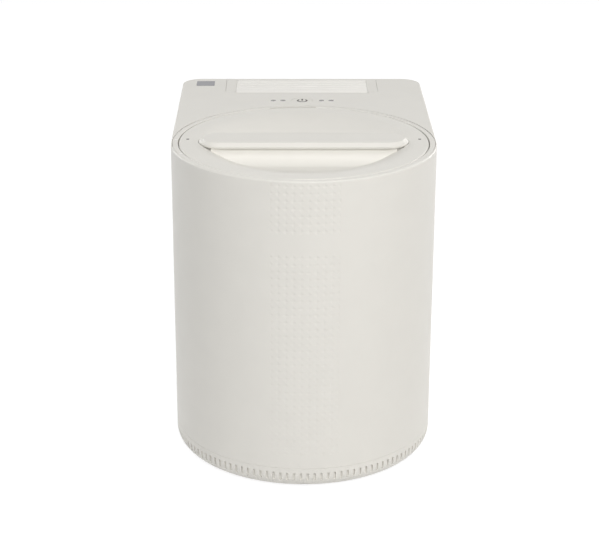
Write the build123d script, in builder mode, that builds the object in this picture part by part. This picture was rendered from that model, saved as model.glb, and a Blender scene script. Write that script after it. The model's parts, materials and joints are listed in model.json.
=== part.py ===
"""Countertop electric food waste composter, millimetres, +Z up.

The origin is on the floor, under the middle of the case. The front is towards -Y.
The round bucket bay stands on its own vertical axis, the bay axis, at y = bay_y.
"""
from build123d import *
import math
import os

os.makedirs("parts", exist_ok=True)

# Case
case_width = 280.0
deck_length = 120.0
case_height = 340.0
corner_radius = 22.0
edge_round = 1.8
shell_wall = 2.6
seam_gap = 0.3
side_seam_offset = 36.5
lip_wall = 1.8
lip_height = 8.0
lip_gap = 0.2
lip_root_length = 2.0
weld_bite = 0.1
cut_margin = 1.0

# Base
foot_height = 1.0
foot_radius = 10.0
foot_recess = 1.0
foot_chamfer = 0.6
front_foot_angles = (-128.5, -51.5)
front_foot_inset = 27.5
rear_foot_side_inset = 32.0
rear_foot_inset = 36.0
base_height = 24.0
base_floor = 3.0
base_round = 16.0
skirt_slot_pitch_angle = 2.935
skirt_slot_count = 58
skirt_slot_width = 2.4
skirt_slot_bottom = 10.5
skirt_slot_height = 8.4
skirt_slot_depth = 2.0
floor_slot_length = 60.0
floor_slot_width = 4.0
floor_slot_pitch = 9.0
floor_slot_count = 7

# Screws
screw_radius = 1.75
screw_head_radius = 3.6
screw_head_height = 2.4
screw_length = 24.0
screw_clearance = 0.05
post_radius = 6.0
post_inset = 8.0
front_post_angles = (-150.0, -90.0, -30.0)
side_post_gap = 20.0
back_post_x = 60.0
boss_height = 20.0
post_recess_depth = 8.5

# Lid, rim ring and bayonet
lid_gap = 0.8
lid_wall = 2.4
lid_skirt_height = 14.0
lid_edge_round = 1.8
ring_inset = 1.6
ring_wall = 5.9
ring_height = 17.0
ring_lip_height = 5.0
ring_step = 1.3
ring_shell_gap = 0.3
ring_edge_round = 0.8
deck_groove = 0.6
ledge_height = 3.0
ledge_width = 5.0
lug_depth = 2.4
lug_height = 3.0
lug_top_drop = 9.0
lug_half_angle = 5.0
lug_clearance = 0.4
lug_side_clearance = 1.5
lid_twist_angle = 20.0
entry_slot_extra_angle = 9.5

# Bowl in the lid, the ridge across it and the grip bar on the ridge
bowl_side_inset = 15.7
bowl_end_inset = 6.7
bowl_side_slope = 48.0
bowl_end_slope = 80.0
bowl_depth = 18.0
bowl_bands = 12
ridge_inset = 2.0
bar_end_inset = 5.5
bar_width = 45.0
bar_thickness = 6.0
bar_rise = 3.6
bar_bevel = 3.8
bar_edge_round = 1.6
bar_gap = 0.6
bar_pocket_depth = 7.0
bar_foot_length = 12.5
bar_screw_inset = 6.5
bar_screw_bite = 3.5
bar_foot_overlap = 2.0

# Lid liner
liner_gap = 6.0
liner_wall = 2.4
liner_rim_height = 12.0
liner_hub_radius = 12.0
liner_hub_height = 15.0
liner_rib_height = 6.0
liner_slot_length = 28.0
liner_slot_width = 3.0
liner_slot_count = 12
liner_rib_count = 6
liner_pin_radius = 6.0
gasket_width = 6.0
gasket_height = 5.7
gasket_chamfer = 1.5
washer_radius = 9.0
washer_height = 2.5
washer_chamfer = 0.8
liner_screw_radius = 2.0
liner_screw_length = 14.0

# Bucket well, heater and insulation
well_inset = 14.5
well_wall = 1.5
well_floor_height = 82.0
well_flange_wall = 1.5
heater_inset = 26.0
heater_hole_radius = 24.0
heater_thickness = 6.0
heater_chamfer = 1.5
cutout_radius = 8.0
cutout_height = 6.0
cutout_inset = 32.0
jacket_gap = 0.1
jacket_thickness = 6.5
jacket_bottom_gap = 4.0
jacket_top_gap = 6.0

# Bucket
bucket_gap = 12.0
bucket_wall = 1.6
bucket_floor = 2.5
bucket_foot_height = 4.0
bucket_foot_inset = 10.0
bucket_foot_wall = 5.0
bucket_top_drop = 34.6
bucket_rim_width = 4.4
bucket_rim_height = 2.0
bucket_rim_round = 0.6
bucket_corner_radius = 6.0
rest_gap = 0.3
bush_radius = 18.0
bush_flange_radius = 22.0
bush_flange_height = 1.5
blade_count = 3
blade_length = 40.0
blade_width = 12.0
blade_thickness = 6.0
blade_lift = 27.7
blade_first_angle = 90.0
blade_wall_gap = 0.05
blade_chamfer = 2.0

# Bail handle on the bucket
bail_well_gap = 6.5
bail_wire_radius = 2.0
bail_drop = 9.0
bail_ear_width = 16.0
bail_ear_height = 14.0
bail_ear_round = 3.5
bail_pin_length = 5.0
grip_radius = 4.2
grip_half_angle = 22.0
fit_clearance = 0.05

# Agitator
agitator_barrel_radius = 14.0
agitator_hub_radius = 20.0
agitator_hub_height = 61.4
agitator_dome = 8.0
arm_gap = 4.0
arm_width = 6.0
arm_height = 14.0
arm_tilt = 18.0
arm_round = 2.0
arm_count = 3
lower_arm_lift = 12.7
upper_arm_lift = 48.7
socket_clearance = 0.3

# Gear train
gear_pressure_angle = 25.0
gear_backlash = 0.3
gear_addendum = 0.95
gear_dedendum = 1.2
flank_steps = 3
output_module = 2.0
output_teeth = 60
pinion_teeth = 15
wheel_module = 1.5
wheel_teeth = 40
motor_teeth = 12
output_face = 10.0
output_rim_width = 8.0
output_hub_wall = 6.0
output_web_drop = 3.3
wheel_face = 8.0
gear_gap = 2.0
gear_side_gap = 1.0
gear_wall_gap = 4.0
gearbox_bottom = 9.0
gearbox_wall = 3.0
gearbox_height = 28.0
gearbox_foot_radius = 8.0
gearbox_foot_offset = 44.0
output_shaft_radius = 6.0
idler_shaft_radius = 4.0
motor_shaft_radius = 2.5
bush_wall = 3.0
bush_seat_wall = 1.0
output_boss_height = 8.0
tower_radius = 14.0
tower_height = 28.0
tower_bush_length = 10.0
dog_width = 16.0
dog_height = 14.0
dog_lift = 3.0
dog_chamfer = 1.0
seal_radius = 11.0
seal_flange = 3.0
seal_thickness = 3.0
motor_radius = 29.0
motor_height = 32.0
motor_nose_radius = 12.0
motor_nose_height = 2.0
motor_shaft_reach = 16.0

# Controls
control_gap = 21.0
button_radius = 12.0
button_clearance = 0.25
button_travel = 1.2
button_flange = 1.6
button_flange_height = 1.5
button_edge_round = 0.5
button_stem_radius = 4.0
button_stem_bore = 2.5
light_radius = 3.1
light_first_offset = 22.0
light_second_offset = 33.0
board_thickness = 1.6
control_board_drop = 10.8
control_board_length = 110.0
control_board_width = 31.0
board_boss_radius = 3.0
switch_size = 12.0
switch_height = 4.5
switch_plunger_radius = 1.75
switch_plunger_height = 2.9
badge_size = 21.0
badge_corner = 1.5
badge_inset = 27.0
badge_back_inset = 23.5
badge_thickness = 1.0
badge_rise = 0.2

# Filter, its cover and the fan
cover_side_inset = 51.7
cover_depth = 60.0
cover_gap = 0.3
tongue_side_inset = 10.3
tongue_depth = 6.4
tongue_corner = 4.0
cover_skirt_height = 14.0
grille_back_inset = 6.0
grille_inset = 1.5
grille_seat_width = 4.5
grille_frame_width = 6.0
grille_frame_wall = 1.4
louvre_count = 5
louvre_pitch = 9.6
louvre_width = 9.0
louvre_wall = 1.2
louvre_tilt = 14.0
louvre_drop = 1.8
louvre_bite = 0.3
chamber_side_gap = 3.3
chamber_depth = 56.0
chamber_back_gap = 3.4
chamber_wall = 2.0
chamber_ledge_width = 4.0
chamber_ledge_height = 2.0
plenum_height = 17.0
chamber_top_gap = 1.2
cartridge_gap = 1.5
cartridge_height = 128.0
cartridge_headroom = 13.1
cartridge_wall = 2.0
cartridge_corner = 3.0
media_gap = 0.2
media_headroom = 14.0
cartridge_hole_radius = 3.0
cartridge_hole_pitch = 12.0
tab_width = 40.0
tab_thickness = 2.0
tab_height = 8.0
fan_size = 56.0
fan_corner = 3.0
fan_height = 25.0
fan_wall = 1.6
fan_tip_gap = 0.8
fan_hub_radius = 12.0
fan_blade_count = 7
fan_blade_angle = 35.0
fan_blade_wall = 1.4
fan_blade_height = 16.0
fan_pin_radius = 2.0
fan_pin_height = 11.0
fan_strut_width = 4.0
fan_strut_height = 3.0
duct_half_width = 20.0
duct_wall = 2.0
duct_height = 20.0
duct_inlet_drop = 27.0
duct_jacket_gap = 3.9
duct_depth = 22.0
duct_foot_height = 20.0
duct_outlet_radius = 17.0
port_half_width = 16.0
port_height = 12.0
port_cut_depth = 8.0

# Electrics
inlet_side_inset = 55.0
inlet_z = 55.0
inlet_flange_width = 40.0
inlet_flange_height = 28.0
inlet_flange_wall = 2.0
inlet_body_width = 28.0
inlet_body_height = 20.5
inlet_body_depth = 24.0
inlet_socket_width = 24.4
inlet_socket_height = 16.9
inlet_socket_depth = 18.0
inlet_corner = 3.0
inlet_pad_wall = 5.0
inlet_pad_margin = 4.0
pin_width = 2.0
pin_height = 4.0
pin_length = 15.0
pin_spacing = 7.0
pin_stagger = 2.0
rear_vent_count = 9
rear_vent_pitch = 7.0
rear_vent_length = 70.0
rear_vent_width = 3.0
rear_vent_x = -45.0
rear_vent_z = 75.0
power_board_x = -30.0
power_board_inset = 56.0
power_board_length = 160.0
power_board_width = 80.0
power_board_height = 30.0
board_corner = 2.0
board_part_offset = 40.0
board_post_radius = 4.0
board_post_inset = 6.0
transformer_size = 34.0
transformer_height = 25.5
capacitor_radius = 9.0
capacitor_height = 28.0
capacitor_pitch = 27.0
capacitor_offset = 20.0
sink_length = 40.0
sink_height = 26.0
sink_wall = 6.0
sink_fin_count = 4
sink_fin_pitch = 10.0
sink_fin_wall = 2.0
sink_fin_width = 18.0
cable_x = 39.0
cable_board_inset = 5.0
cable_width = 12.0
cable_wall = 1.2
connector_length = 16.0
connector_width = 7.0
connector_height = 8.0
lead_radius = 1.6
lead_spacing = 6.0
lead_bend = 9.0
lid_switch_angle = 60.6
lid_switch_gap = 8.5
lid_switch_length = 20.0
lid_switch_width = 8.0
lid_switch_height = 12.0

# The case and the round bay, worked out from the sizes above
half_width = case_width / 2
back_y = (case_width + deck_length) / 2
bay_y = half_width - back_y
base_top = foot_height + base_height
shell_bottom = base_top + seam_gap
seam_y = bay_y + side_seam_offset
deck_bottom = case_height - cover_skirt_height
deck_under = case_height - shell_wall
ring_radius = half_width - ring_inset
ring_outer_low = ring_radius - ring_step
ring_bore = ring_radius - ring_wall
ring_bottom = case_height - ring_height
lid_radius = ring_bore - lid_gap
screw_hole = screw_radius + screw_clearance
post_reach = half_width - post_inset

# The well, the bucket and the lid above it
well_radius = ring_bore - well_inset
well_outer = well_radius + well_wall
well_flange_top = ring_bottom
jacket_radius = well_outer + jacket_gap + jacket_thickness
heater_radius = well_radius - heater_inset
rim_outer = well_radius - bucket_gap
bucket_outer = rim_outer - bucket_rim_width
bucket_radius = bucket_outer - bucket_wall
bucket_foot_radius = bucket_radius - bucket_foot_inset
bail_radius = well_radius - bail_well_gap
liner_radius = well_radius - liner_gap
bowl_half_width = lid_radius - bowl_side_inset
bowl_half_depth = lid_radius - bowl_end_inset
bowl_under = case_height - bowl_depth - lid_wall
bar_length = 2 * (bowl_half_width - bar_end_inset)
bucket_bottom = well_floor_height + well_wall + rest_gap
bucket_floor_z = bucket_bottom + bucket_foot_height
bucket_inner_floor = bucket_floor_z + bucket_floor
bucket_top = bowl_under - bucket_top_drop
bail_height = bucket_top - bail_drop
liner_bottom = bucket_top + rest_gap + gasket_height

# The gear train under the well
output_centre_distance = output_module * (output_teeth + pinion_teeth) / 2
wheel_centre_distance = wheel_module * (wheel_teeth + motor_teeth) / 2
idler_y = bay_y + output_centre_distance
motor_y = idler_y + wheel_centre_distance
gearbox_floor_z = gearbox_bottom + gearbox_wall
wheel_z = gearbox_floor_z + gear_gap
output_gear_z = wheel_z + wheel_face + gear_gap
gearbox_top = gearbox_bottom + gearbox_height

# The deck, what hangs under it and the air path at the back
control_y = bay_y + half_width + control_gap
control_board_top = deck_under - control_board_drop
badge_x = badge_inset - half_width
badge_y = back_y - badge_back_inset
cover_half_width = half_width - cover_side_inset
cover_front_y = back_y - cover_depth
tongue_half_width = cover_half_width - tongue_side_inset
tongue_y = cover_front_y - tongue_depth
grille_back_y = back_y - grille_back_inset
chamber_half_width = cover_half_width - chamber_side_gap
filter_y = back_y - shell_wall - chamber_back_gap - chamber_depth / 2
chamber_top = deck_under - chamber_top_gap
cartridge_bottom = deck_under - cartridge_headroom - cartridge_height
chamber_ledge_bottom = cartridge_bottom - rest_gap - chamber_ledge_height
fan_top = chamber_ledge_bottom - plenum_height
fan_bottom = fan_top - fan_height
fan_bore = fan_size / 2 - fan_wall
duct_inlet_bottom = well_flange_top - duct_inlet_drop
duct_bottom = fan_bottom - duct_foot_height
inlet_x = half_width - inlet_side_inset
power_board_y = back_y - power_board_inset
cable_y = power_board_y - power_board_width / 2 + cable_board_inset


def bay_plane(height):
    """The level plane on the bay axis at a height above the floor."""
    return Plane((0, bay_y, height))


def case_outline(inset):
    """The case seen from above, drawn in by inset: a half round front and a square back."""
    with BuildSketch() as outline:
        with Locations((0, bay_y)):
            Circle(half_width - inset)
        with Locations((0, (bay_y + back_y - inset) / 2)):
            Rectangle(2 * (half_width - inset), back_y - inset - bay_y)
        fillet(outline.vertices().group_by(Axis.Y)[-1], corner_radius - inset)
    return outline.sketch


def case_prism(inset, bottom, top):
    """A solid of the case's outline between two heights."""
    with BuildPart() as prism:
        with BuildSketch(Plane.XY.offset(bottom)):
            add(case_outline(inset))
        extrude(amount=top - bottom)
    return prism.part


def rounded_case():
    """The whole case as one block with its rounded top edge."""
    with BuildPart() as block:
        add(case_prism(0, foot_height, case_height))
        fillet(block.edges().group_by(Axis.Z)[-1], edge_round)
    return block.part


def post_places():
    """Where the base is screwed to the shells: three places in front and four behind."""
    places = []
    for angle in front_post_angles:
        x = post_reach * math.cos(math.radians(angle))
        y = bay_y + post_reach * math.sin(math.radians(angle))
        places.append((x, y))
    for side in (-1, 1):
        places.append((side * post_reach, bay_y + half_width - side_post_gap))
        places.append((side * back_post_x, back_y - post_inset))
    return places


def front_places():
    """The screw places that the front shell covers."""
    return [place for place in post_places() if place[1] < seam_y]


def rear_places():
    """The screw places that the rear shell covers."""
    return [place for place in post_places() if place[1] > seam_y]


def gear_points(module, teeth, start_angle):
    """The corner points of an involute spur gear, with a tooth centred on start_angle."""
    pitch = module * teeth / 2
    base = pitch * math.cos(math.radians(gear_pressure_angle))
    tip = pitch + gear_addendum * module
    root = pitch - gear_dedendum * module
    flare = math.tan(math.radians(gear_pressure_angle)) - math.radians(gear_pressure_angle)
    half_tooth = (math.pi * module / 2 - gear_backlash) / (2 * pitch)

    def half_angle(radius):
        if radius <= base:
            return half_tooth + flare
        slope = math.acos(base / radius)
        return half_tooth + flare - (math.tan(slope) - slope)

    low = max(base, root)
    flank = [low + (tip - low) * step / flank_steps for step in range(flank_steps + 1)]
    if root < low:
        flank.insert(0, root)
    points = []
    for tooth in range(teeth):
        centre = math.radians(start_angle) + 2 * math.pi * tooth / teeth
        rising = [(radius, centre - half_angle(radius)) for radius in flank]
        falling = [(radius, centre + half_angle(radius)) for radius in reversed(flank)]
        for radius, angle in rising + falling:
            points.append((radius * math.cos(angle), radius * math.sin(angle)))
    return points


def gear_disc(plane, module, teeth, start_angle, face):
    """A solid spur gear on a plane, with no bore."""
    with BuildPart() as disc:
        with BuildSketch(plane):
            with BuildLine():
                Polyline(*gear_points(module, teeth, start_angle), close=True)
            make_face()
        extrude(amount=face)
    return disc.part


def screws(places, seat, direction=1):
    """Pan head screws whose heads bear on a level seat and point up, or down for -1."""
    with BuildPart() as group:
        with BuildSketch(Plane.XY.offset(seat)):
            with Locations(*places):
                Circle(screw_head_radius)
        extrude(amount=-direction * screw_head_height)
        with BuildSketch(Plane.XY.offset(seat)):
            with Locations(*places):
                Circle(screw_radius)
        extrude(amount=direction * screw_length)
    return group.part


def arc_sector(plane, inner, outer, start, end, height):
    """A solid piece of a ring between two angles about the plane's origin."""
    with BuildPart() as sector:
        with BuildSketch(plane):
            with BuildLine():
                low = CenterArc((0, 0), inner, start, end - start)
                high = CenterArc((0, 0), outer, start, end - start)
                Line(low @ 0, high @ 0)
                Line(low @ 1, high @ 1)
            make_face()
        extrude(amount=height)
    return sector.part


envelope = rounded_case()

# Base pan, with the blind slots round its skirt, screw posts, floor vents and foot recesses
foot_places = []
for angle in front_foot_angles:
    turn = math.radians(angle)
    foot_reach = half_width - front_foot_inset
    foot_places.append((foot_reach * math.cos(turn), bay_y + foot_reach * math.sin(turn)))
for side in (-1, 1):
    foot_places.append((side * (half_width - rear_foot_side_inset), back_y - rear_foot_inset))
gearbox_foot_places = [
    (side * gearbox_foot_offset, bay_y + end * gearbox_foot_offset)
    for side in (-1, 1)
    for end in (-1, 1)
] + [(0, motor_y)]
board_corner_x = power_board_length / 2 - board_post_inset
board_corner_y = power_board_width / 2 - board_post_inset
board_post_places = [
    (power_board_x + side * board_corner_x, power_board_y + end * board_corner_y)
    for side in (-1, 1)
    for end in (-1, 1)
]

inner_floor_z = foot_height + base_floor
with BuildPart() as base_hollow:
    add(case_prism(shell_wall, inner_floor_z, base_top))
    fillet(base_hollow.edges().group_by(Axis.Z)[0], base_round - shell_wall)

with BuildPart() as base_block:
    add(case_prism(0, foot_height, base_top))
    fillet(base_block.edges().group_by(Axis.Z)[0], base_round)

with BuildPart() as base_pan:
    add(base_block.part)
    add(base_hollow.part, mode=Mode.SUBTRACT)
    with BuildSketch(Plane.XY.offset(inner_floor_z)):
        with Locations(*post_places()):
            Circle(post_radius)
    extrude(amount=base_top - inner_floor_z)
    with BuildSketch(Plane.XY.offset(inner_floor_z)):
        with Locations(*board_post_places):
            Circle(board_post_radius)
    extrude(amount=power_board_height - inner_floor_z)
    with BuildSketch(Plane.XY.offset(foot_height)):
        with Locations(*post_places()):
            Circle(screw_hole)
    extrude(amount=base_height, mode=Mode.SUBTRACT)
    with BuildSketch(Plane.XY.offset(foot_height)):
        with Locations(*post_places()):
            Circle(screw_head_radius + screw_clearance)
    extrude(amount=post_recess_depth, mode=Mode.SUBTRACT)
    with BuildSketch(Plane.XY.offset(foot_height)):
        with Locations(*foot_places):
            Circle(foot_radius)
    extrude(amount=foot_recess, mode=Mode.SUBTRACT)
    with BuildSketch(Plane.XY.offset(foot_height)):
        with Locations((0, filter_y)):
            with GridLocations(floor_slot_pitch, 1, floor_slot_count, 1):
                SlotOverall(floor_slot_length, floor_slot_width, rotation=90)
    extrude(amount=base_floor, mode=Mode.SUBTRACT)
    slot_spread = skirt_slot_pitch_angle * (skirt_slot_count - 1)
    first_slot = -90 - slot_spread / 2
    with BuildSketch(bay_plane(foot_height + skirt_slot_bottom)):
        with PolarLocations(half_width, skirt_slot_count, first_slot, slot_spread, endpoint=True):
            Rectangle(2 * skirt_slot_depth, skirt_slot_width)
    extrude(amount=skirt_slot_height, mode=Mode.SUBTRACT)
    add(base_block.part, mode=Mode.INTERSECT)
base_pan.part.label = "base_pan"
export_step(base_pan.part, "parts/base_pan.step")

with BuildPart() as rubber_feet:
    with BuildSketch():
        with Locations(*foot_places):
            Circle(foot_radius - screw_clearance)
    extrude(amount=foot_height + foot_recess)
    chamfer(rubber_feet.edges().group_by(Axis.Z)[0], foot_chamfer)
rubber_feet.part.label = "rubber_feet"
export_step(rubber_feet.part, "parts/rubber_feet.step")

base_screws = screws(post_places(), foot_height + post_recess_depth)
base_screws.label = "base_screws"
export_step(base_screws, "parts/base_screws.step")

# Front shell, with the ledge that carries the well and the corners beside the ring
with BuildPart() as front_shell:
    add(case_prism(0, shell_bottom, case_height))
    add(case_prism(shell_wall, shell_bottom, deck_under), mode=Mode.SUBTRACT)
    add(envelope, mode=Mode.INTERSECT)
    ring_seat_radius = ring_radius + ring_shell_gap
    with BuildSketch(bay_plane(case_height - ring_lip_height)):
        Circle(ring_seat_radius)
    extrude(amount=ring_lip_height, mode=Mode.SUBTRACT)
    with BuildSketch(bay_plane(well_flange_top - well_flange_wall - ledge_height)):
        Circle(half_width - shell_wall + weld_bite)
        Circle(half_width - shell_wall - ledge_width, mode=Mode.SUBTRACT)
    extrude(amount=ledge_height)
    with BuildSketch(Plane.XY.offset(base_top)):
        with Locations(*front_places()):
            Circle(post_radius)
    extrude(amount=boss_height)
    with BuildSketch(Plane.XY.offset(base_top)):
        with Locations(*front_places()):
            Circle(screw_hole)
    extrude(amount=screw_length, mode=Mode.SUBTRACT)
    front_block_depth = seam_y + back_y
    with BuildSketch(Plane.XY.offset(base_top)):
        with Locations((0, seam_y - front_block_depth / 2)):
            Rectangle(case_width, front_block_depth)
    extrude(amount=case_height, mode=Mode.INTERSECT)
front_shell.part.label = "front_shell"
export_step(front_shell.part, "parts/front_shell.step")

# Rear shell, with its joining lips, exhaust vents and the power inlet's pad and cut-out
with BuildPart() as rear_shell:
    add(case_prism(0, shell_bottom, deck_bottom - seam_gap))
    add(case_prism(shell_wall, shell_bottom, deck_bottom), mode=Mode.SUBTRACT)
    rear_depth = back_y - seam_y - seam_gap
    with BuildSketch(Plane.XY.offset(shell_bottom)):
        with Locations((0, back_y - rear_depth / 2)):
            Rectangle(case_width, rear_depth)
    extrude(amount=case_height, mode=Mode.INTERSECT)
    with BuildSketch(Plane.XY.offset(base_top)):
        with Locations(*rear_places()):
            Circle(post_radius)
    extrude(amount=boss_height)
    with BuildSketch(Plane.XY.offset(base_top)):
        with Locations(*rear_places()):
            Circle(screw_hole)
    extrude(amount=screw_length, mode=Mode.SUBTRACT)
    lip_x = half_width - shell_wall - lip_gap - lip_wall / 2
    lip_root_y = seam_y + lip_height - lip_root_length / 2
    with BuildSketch(Plane.XY.offset(shell_bottom + boss_height)):
        with Locations((-lip_x, seam_y), (lip_x, seam_y)):
            Rectangle(lip_wall, 2 * lip_height)
        with Locations((-lip_x, lip_root_y), (lip_x, lip_root_y)):
            Rectangle(lip_wall + 2 * (lip_gap + weld_bite), lip_root_length)
    extrude(amount=deck_bottom - shell_bottom - 2 * boss_height)
    with BuildSketch(Plane((0, back_y - inlet_pad_wall, 0), x_dir=(-1, 0, 0), z_dir=(0, 1, 0))):
        with Locations((-inlet_x, inlet_z)):
            RectangleRounded(
                inlet_flange_width + 2 * inlet_pad_margin,
                inlet_flange_height + 2 * inlet_pad_margin,
                inlet_corner,
            )
    extrude(amount=inlet_pad_wall)
    with BuildSketch(Plane((0, back_y, 0), x_dir=(-1, 0, 0), z_dir=(0, 1, 0))):
        with Locations((-inlet_x, inlet_z)):
            RectangleRounded(
                inlet_flange_width + 2 * lip_gap,
                inlet_flange_height + 2 * lip_gap,
                inlet_corner,
            )
    extrude(amount=-inlet_flange_wall, mode=Mode.SUBTRACT)
    with BuildSketch(Plane((0, back_y, 0), x_dir=(-1, 0, 0), z_dir=(0, 1, 0))):
        with Locations((-inlet_x, inlet_z)):
            Rectangle(inlet_body_width + 2 * lip_gap, inlet_body_height + 2 * lip_gap)
        with Locations((-rear_vent_x, rear_vent_z)):
            with GridLocations(1, rear_vent_pitch, 1, rear_vent_count):
                SlotOverall(rear_vent_length, rear_vent_width)
    extrude(amount=-inlet_pad_wall, mode=Mode.SUBTRACT)
rear_shell.part.label = "rear_shell"
export_step(rear_shell.part, "parts/rear_shell.step")

# Deck, with openings for the filter cover, the controls and the badge
opening_front_y = cover_front_y - cover_gap
opening_back_y = back_y + cut_margin
tongue_front_y = tongue_y - cover_gap
with BuildSketch() as cover_opening:
    with Locations((0, (opening_front_y + opening_back_y) / 2)):
        Rectangle(2 * (cover_half_width + cover_gap), opening_back_y - opening_front_y)
    with Locations((0, (tongue_front_y + back_y) / 2)):
        Rectangle(2 * (tongue_half_width + cover_gap), back_y - tongue_front_y)
    fillet(cover_opening.vertices().group_by(Axis.Y)[0], tongue_corner)
light_places = [
    (side * offset, control_y)
    for side in (-1, 1)
    for offset in (light_first_offset, light_second_offset)
]
board_boss_places = [
    (side * (control_board_length / 2 - board_boss_radius), control_y)
    for side in (-1, 1)
]

with BuildPart() as top_deck:
    add(case_prism(0, deck_bottom, case_height))
    add(case_prism(shell_wall, deck_bottom, deck_under), mode=Mode.SUBTRACT)
    add(case_prism(shell_wall + lip_gap, deck_bottom - lip_height, deck_bottom))
    add(case_prism(shell_wall, deck_bottom, deck_bottom + lip_height))
    lip_inset = shell_wall + lip_gap + lip_wall
    add(case_prism(lip_inset, deck_bottom - lip_height, deck_under), mode=Mode.SUBTRACT)
    add(envelope, mode=Mode.INTERSECT)
    with BuildSketch(Plane.XY.offset(deck_bottom - lip_height)):
        with Locations((0, back_y - rear_depth / 2)):
            Rectangle(case_width, rear_depth)
    extrude(amount=case_height, mode=Mode.INTERSECT)
    with BuildSketch(bay_plane(deck_bottom - lip_height)):
        Circle(ring_radius + deck_groove)
    extrude(amount=case_height, mode=Mode.SUBTRACT)
    with BuildSketch(Plane.XY.offset(deck_bottom - lip_height)):
        add(cover_opening.sketch)
    extrude(amount=case_height, mode=Mode.SUBTRACT)
    with BuildSketch(Plane.XY.offset(control_board_top)):
        with Locations(*board_boss_places):
            Circle(board_boss_radius)
    extrude(amount=deck_under - control_board_top)
    with BuildSketch(Plane.XY.offset(control_board_top)):
        with Locations((0, control_y)):
            Circle(button_radius + button_clearance)
        with Locations(*light_places):
            Circle(light_radius + fit_clearance)
    extrude(amount=case_height, mode=Mode.SUBTRACT)
    with BuildSketch(Plane.XY.offset(case_height + badge_rise - badge_thickness)):
        with Locations((badge_x, badge_y)):
            badge_seat = badge_size + 2 * fit_clearance
            RectangleRounded(badge_seat, badge_seat, badge_corner)
    extrude(amount=badge_thickness, mode=Mode.SUBTRACT)
top_deck.part.label = "top_deck"
export_step(top_deck.part, "parts/top_deck.step")

with BuildPart() as badge_plate:
    with BuildSketch(Plane.XY.offset(case_height + badge_rise - badge_thickness)):
        with Locations((badge_x, badge_y)):
            RectangleRounded(badge_size, badge_size, badge_corner)
    extrude(amount=badge_thickness)
badge_plate.part.label = "badge_plate"
export_step(badge_plate.part, "parts/badge_plate.step")

# Rim ring, with the two entry slots and grooves that the lid's lugs turn in
lug_centres = (-90, 90)
lug_outer = lid_radius + lug_depth
groove_outer = lug_outer + lug_clearance
groove_bottom = case_height - lug_top_drop - lug_height - lug_clearance
entry_low = -lug_half_angle - lug_side_clearance
entry_high = lug_half_angle + lug_side_clearance + entry_slot_extra_angle
groove_high = lug_half_angle + lug_side_clearance + lid_twist_angle

with BuildPart() as rim_ring:
    with BuildSketch(bay_plane(ring_bottom)):
        Circle(ring_outer_low)
        Circle(ring_bore, mode=Mode.SUBTRACT)
    extrude(amount=ring_height)
    with BuildSketch(bay_plane(case_height - ring_lip_height)):
        Circle(ring_radius)
        Circle(ring_bore, mode=Mode.SUBTRACT)
    extrude(amount=ring_lip_height)
    fillet(rim_ring.edges().group_by(Axis.Z)[-1], ring_edge_round)
    for centre in lug_centres:
        add(
            arc_sector(
                bay_plane(groove_bottom),
                ring_bore - lug_clearance,
                groove_outer,
                centre + entry_low,
                centre + entry_high,
                case_height,
            ),
            mode=Mode.SUBTRACT,
        )
        add(
            arc_sector(
                bay_plane(groove_bottom),
                ring_bore - lug_clearance,
                groove_outer,
                centre + entry_low,
                centre + groove_high,
                lug_height + 2 * lug_clearance,
            ),
            mode=Mode.SUBTRACT,
        )
    add(envelope, mode=Mode.INTERSECT)
rim_ring.part.label = "rim_ring"
export_step(rim_ring.part, "parts/rim_ring.step")

# Bucket well, with the exhaust port in its back wall, and what is wrapped round and under it
port_bottom = duct_inlet_bottom + (duct_height - port_height) / 2
jacket_bottom = well_floor_height + jacket_bottom_gap
jacket_top = duct_inlet_bottom - jacket_top_gap

with BuildPart() as bucket_well:
    with BuildSketch(bay_plane(well_floor_height)):
        Circle(well_outer)
    extrude(amount=well_flange_top - well_floor_height)
    with BuildSketch(bay_plane(well_flange_top - well_flange_wall)):
        Circle(ring_outer_low)
    extrude(amount=well_flange_wall)
    with BuildSketch(bay_plane(well_floor_height + well_wall)):
        Circle(well_radius)
    extrude(amount=case_height, mode=Mode.SUBTRACT)
    with BuildSketch(bay_plane(well_floor_height)):
        Circle(seal_radius)
    extrude(amount=well_wall, mode=Mode.SUBTRACT)
    with BuildSketch(bay_plane(port_bottom)):
        with Locations((0, well_radius)):
            Rectangle(2 * port_half_width, port_cut_depth)
    extrude(amount=port_height, mode=Mode.SUBTRACT)
bucket_well.part.label = "bucket_well"
export_step(bucket_well.part, "parts/bucket_well.step")

with BuildPart() as insulation_jacket:
    with BuildSketch(bay_plane(jacket_bottom)):
        Circle(jacket_radius)
        Circle(well_outer + jacket_gap, mode=Mode.SUBTRACT)
    extrude(amount=jacket_top - jacket_bottom)
insulation_jacket.part.label = "insulation_jacket"
export_step(insulation_jacket.part, "parts/insulation_jacket.step")

with BuildPart() as heater_plate:
    with BuildSketch(bay_plane(well_floor_height - heater_thickness)):
        Circle(heater_radius)
        Circle(heater_hole_radius, mode=Mode.SUBTRACT)
    extrude(amount=heater_thickness)
    chamfer(heater_plate.edges().group_by(Axis.Z)[0], heater_chamfer)
heater_plate.part.label = "heater_plate"
export_step(heater_plate.part, "parts/heater_plate.step")

with BuildPart() as thermal_cutout:
    with BuildSketch(bay_plane(well_floor_height - heater_thickness)):
        with Locations((heater_radius - cutout_inset, 0)):
            Circle(cutout_radius)
    extrude(amount=-cutout_height)
thermal_cutout.part.label = "thermal_cutout"
export_step(thermal_cutout.part, "parts/thermal_cutout.step")

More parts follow.
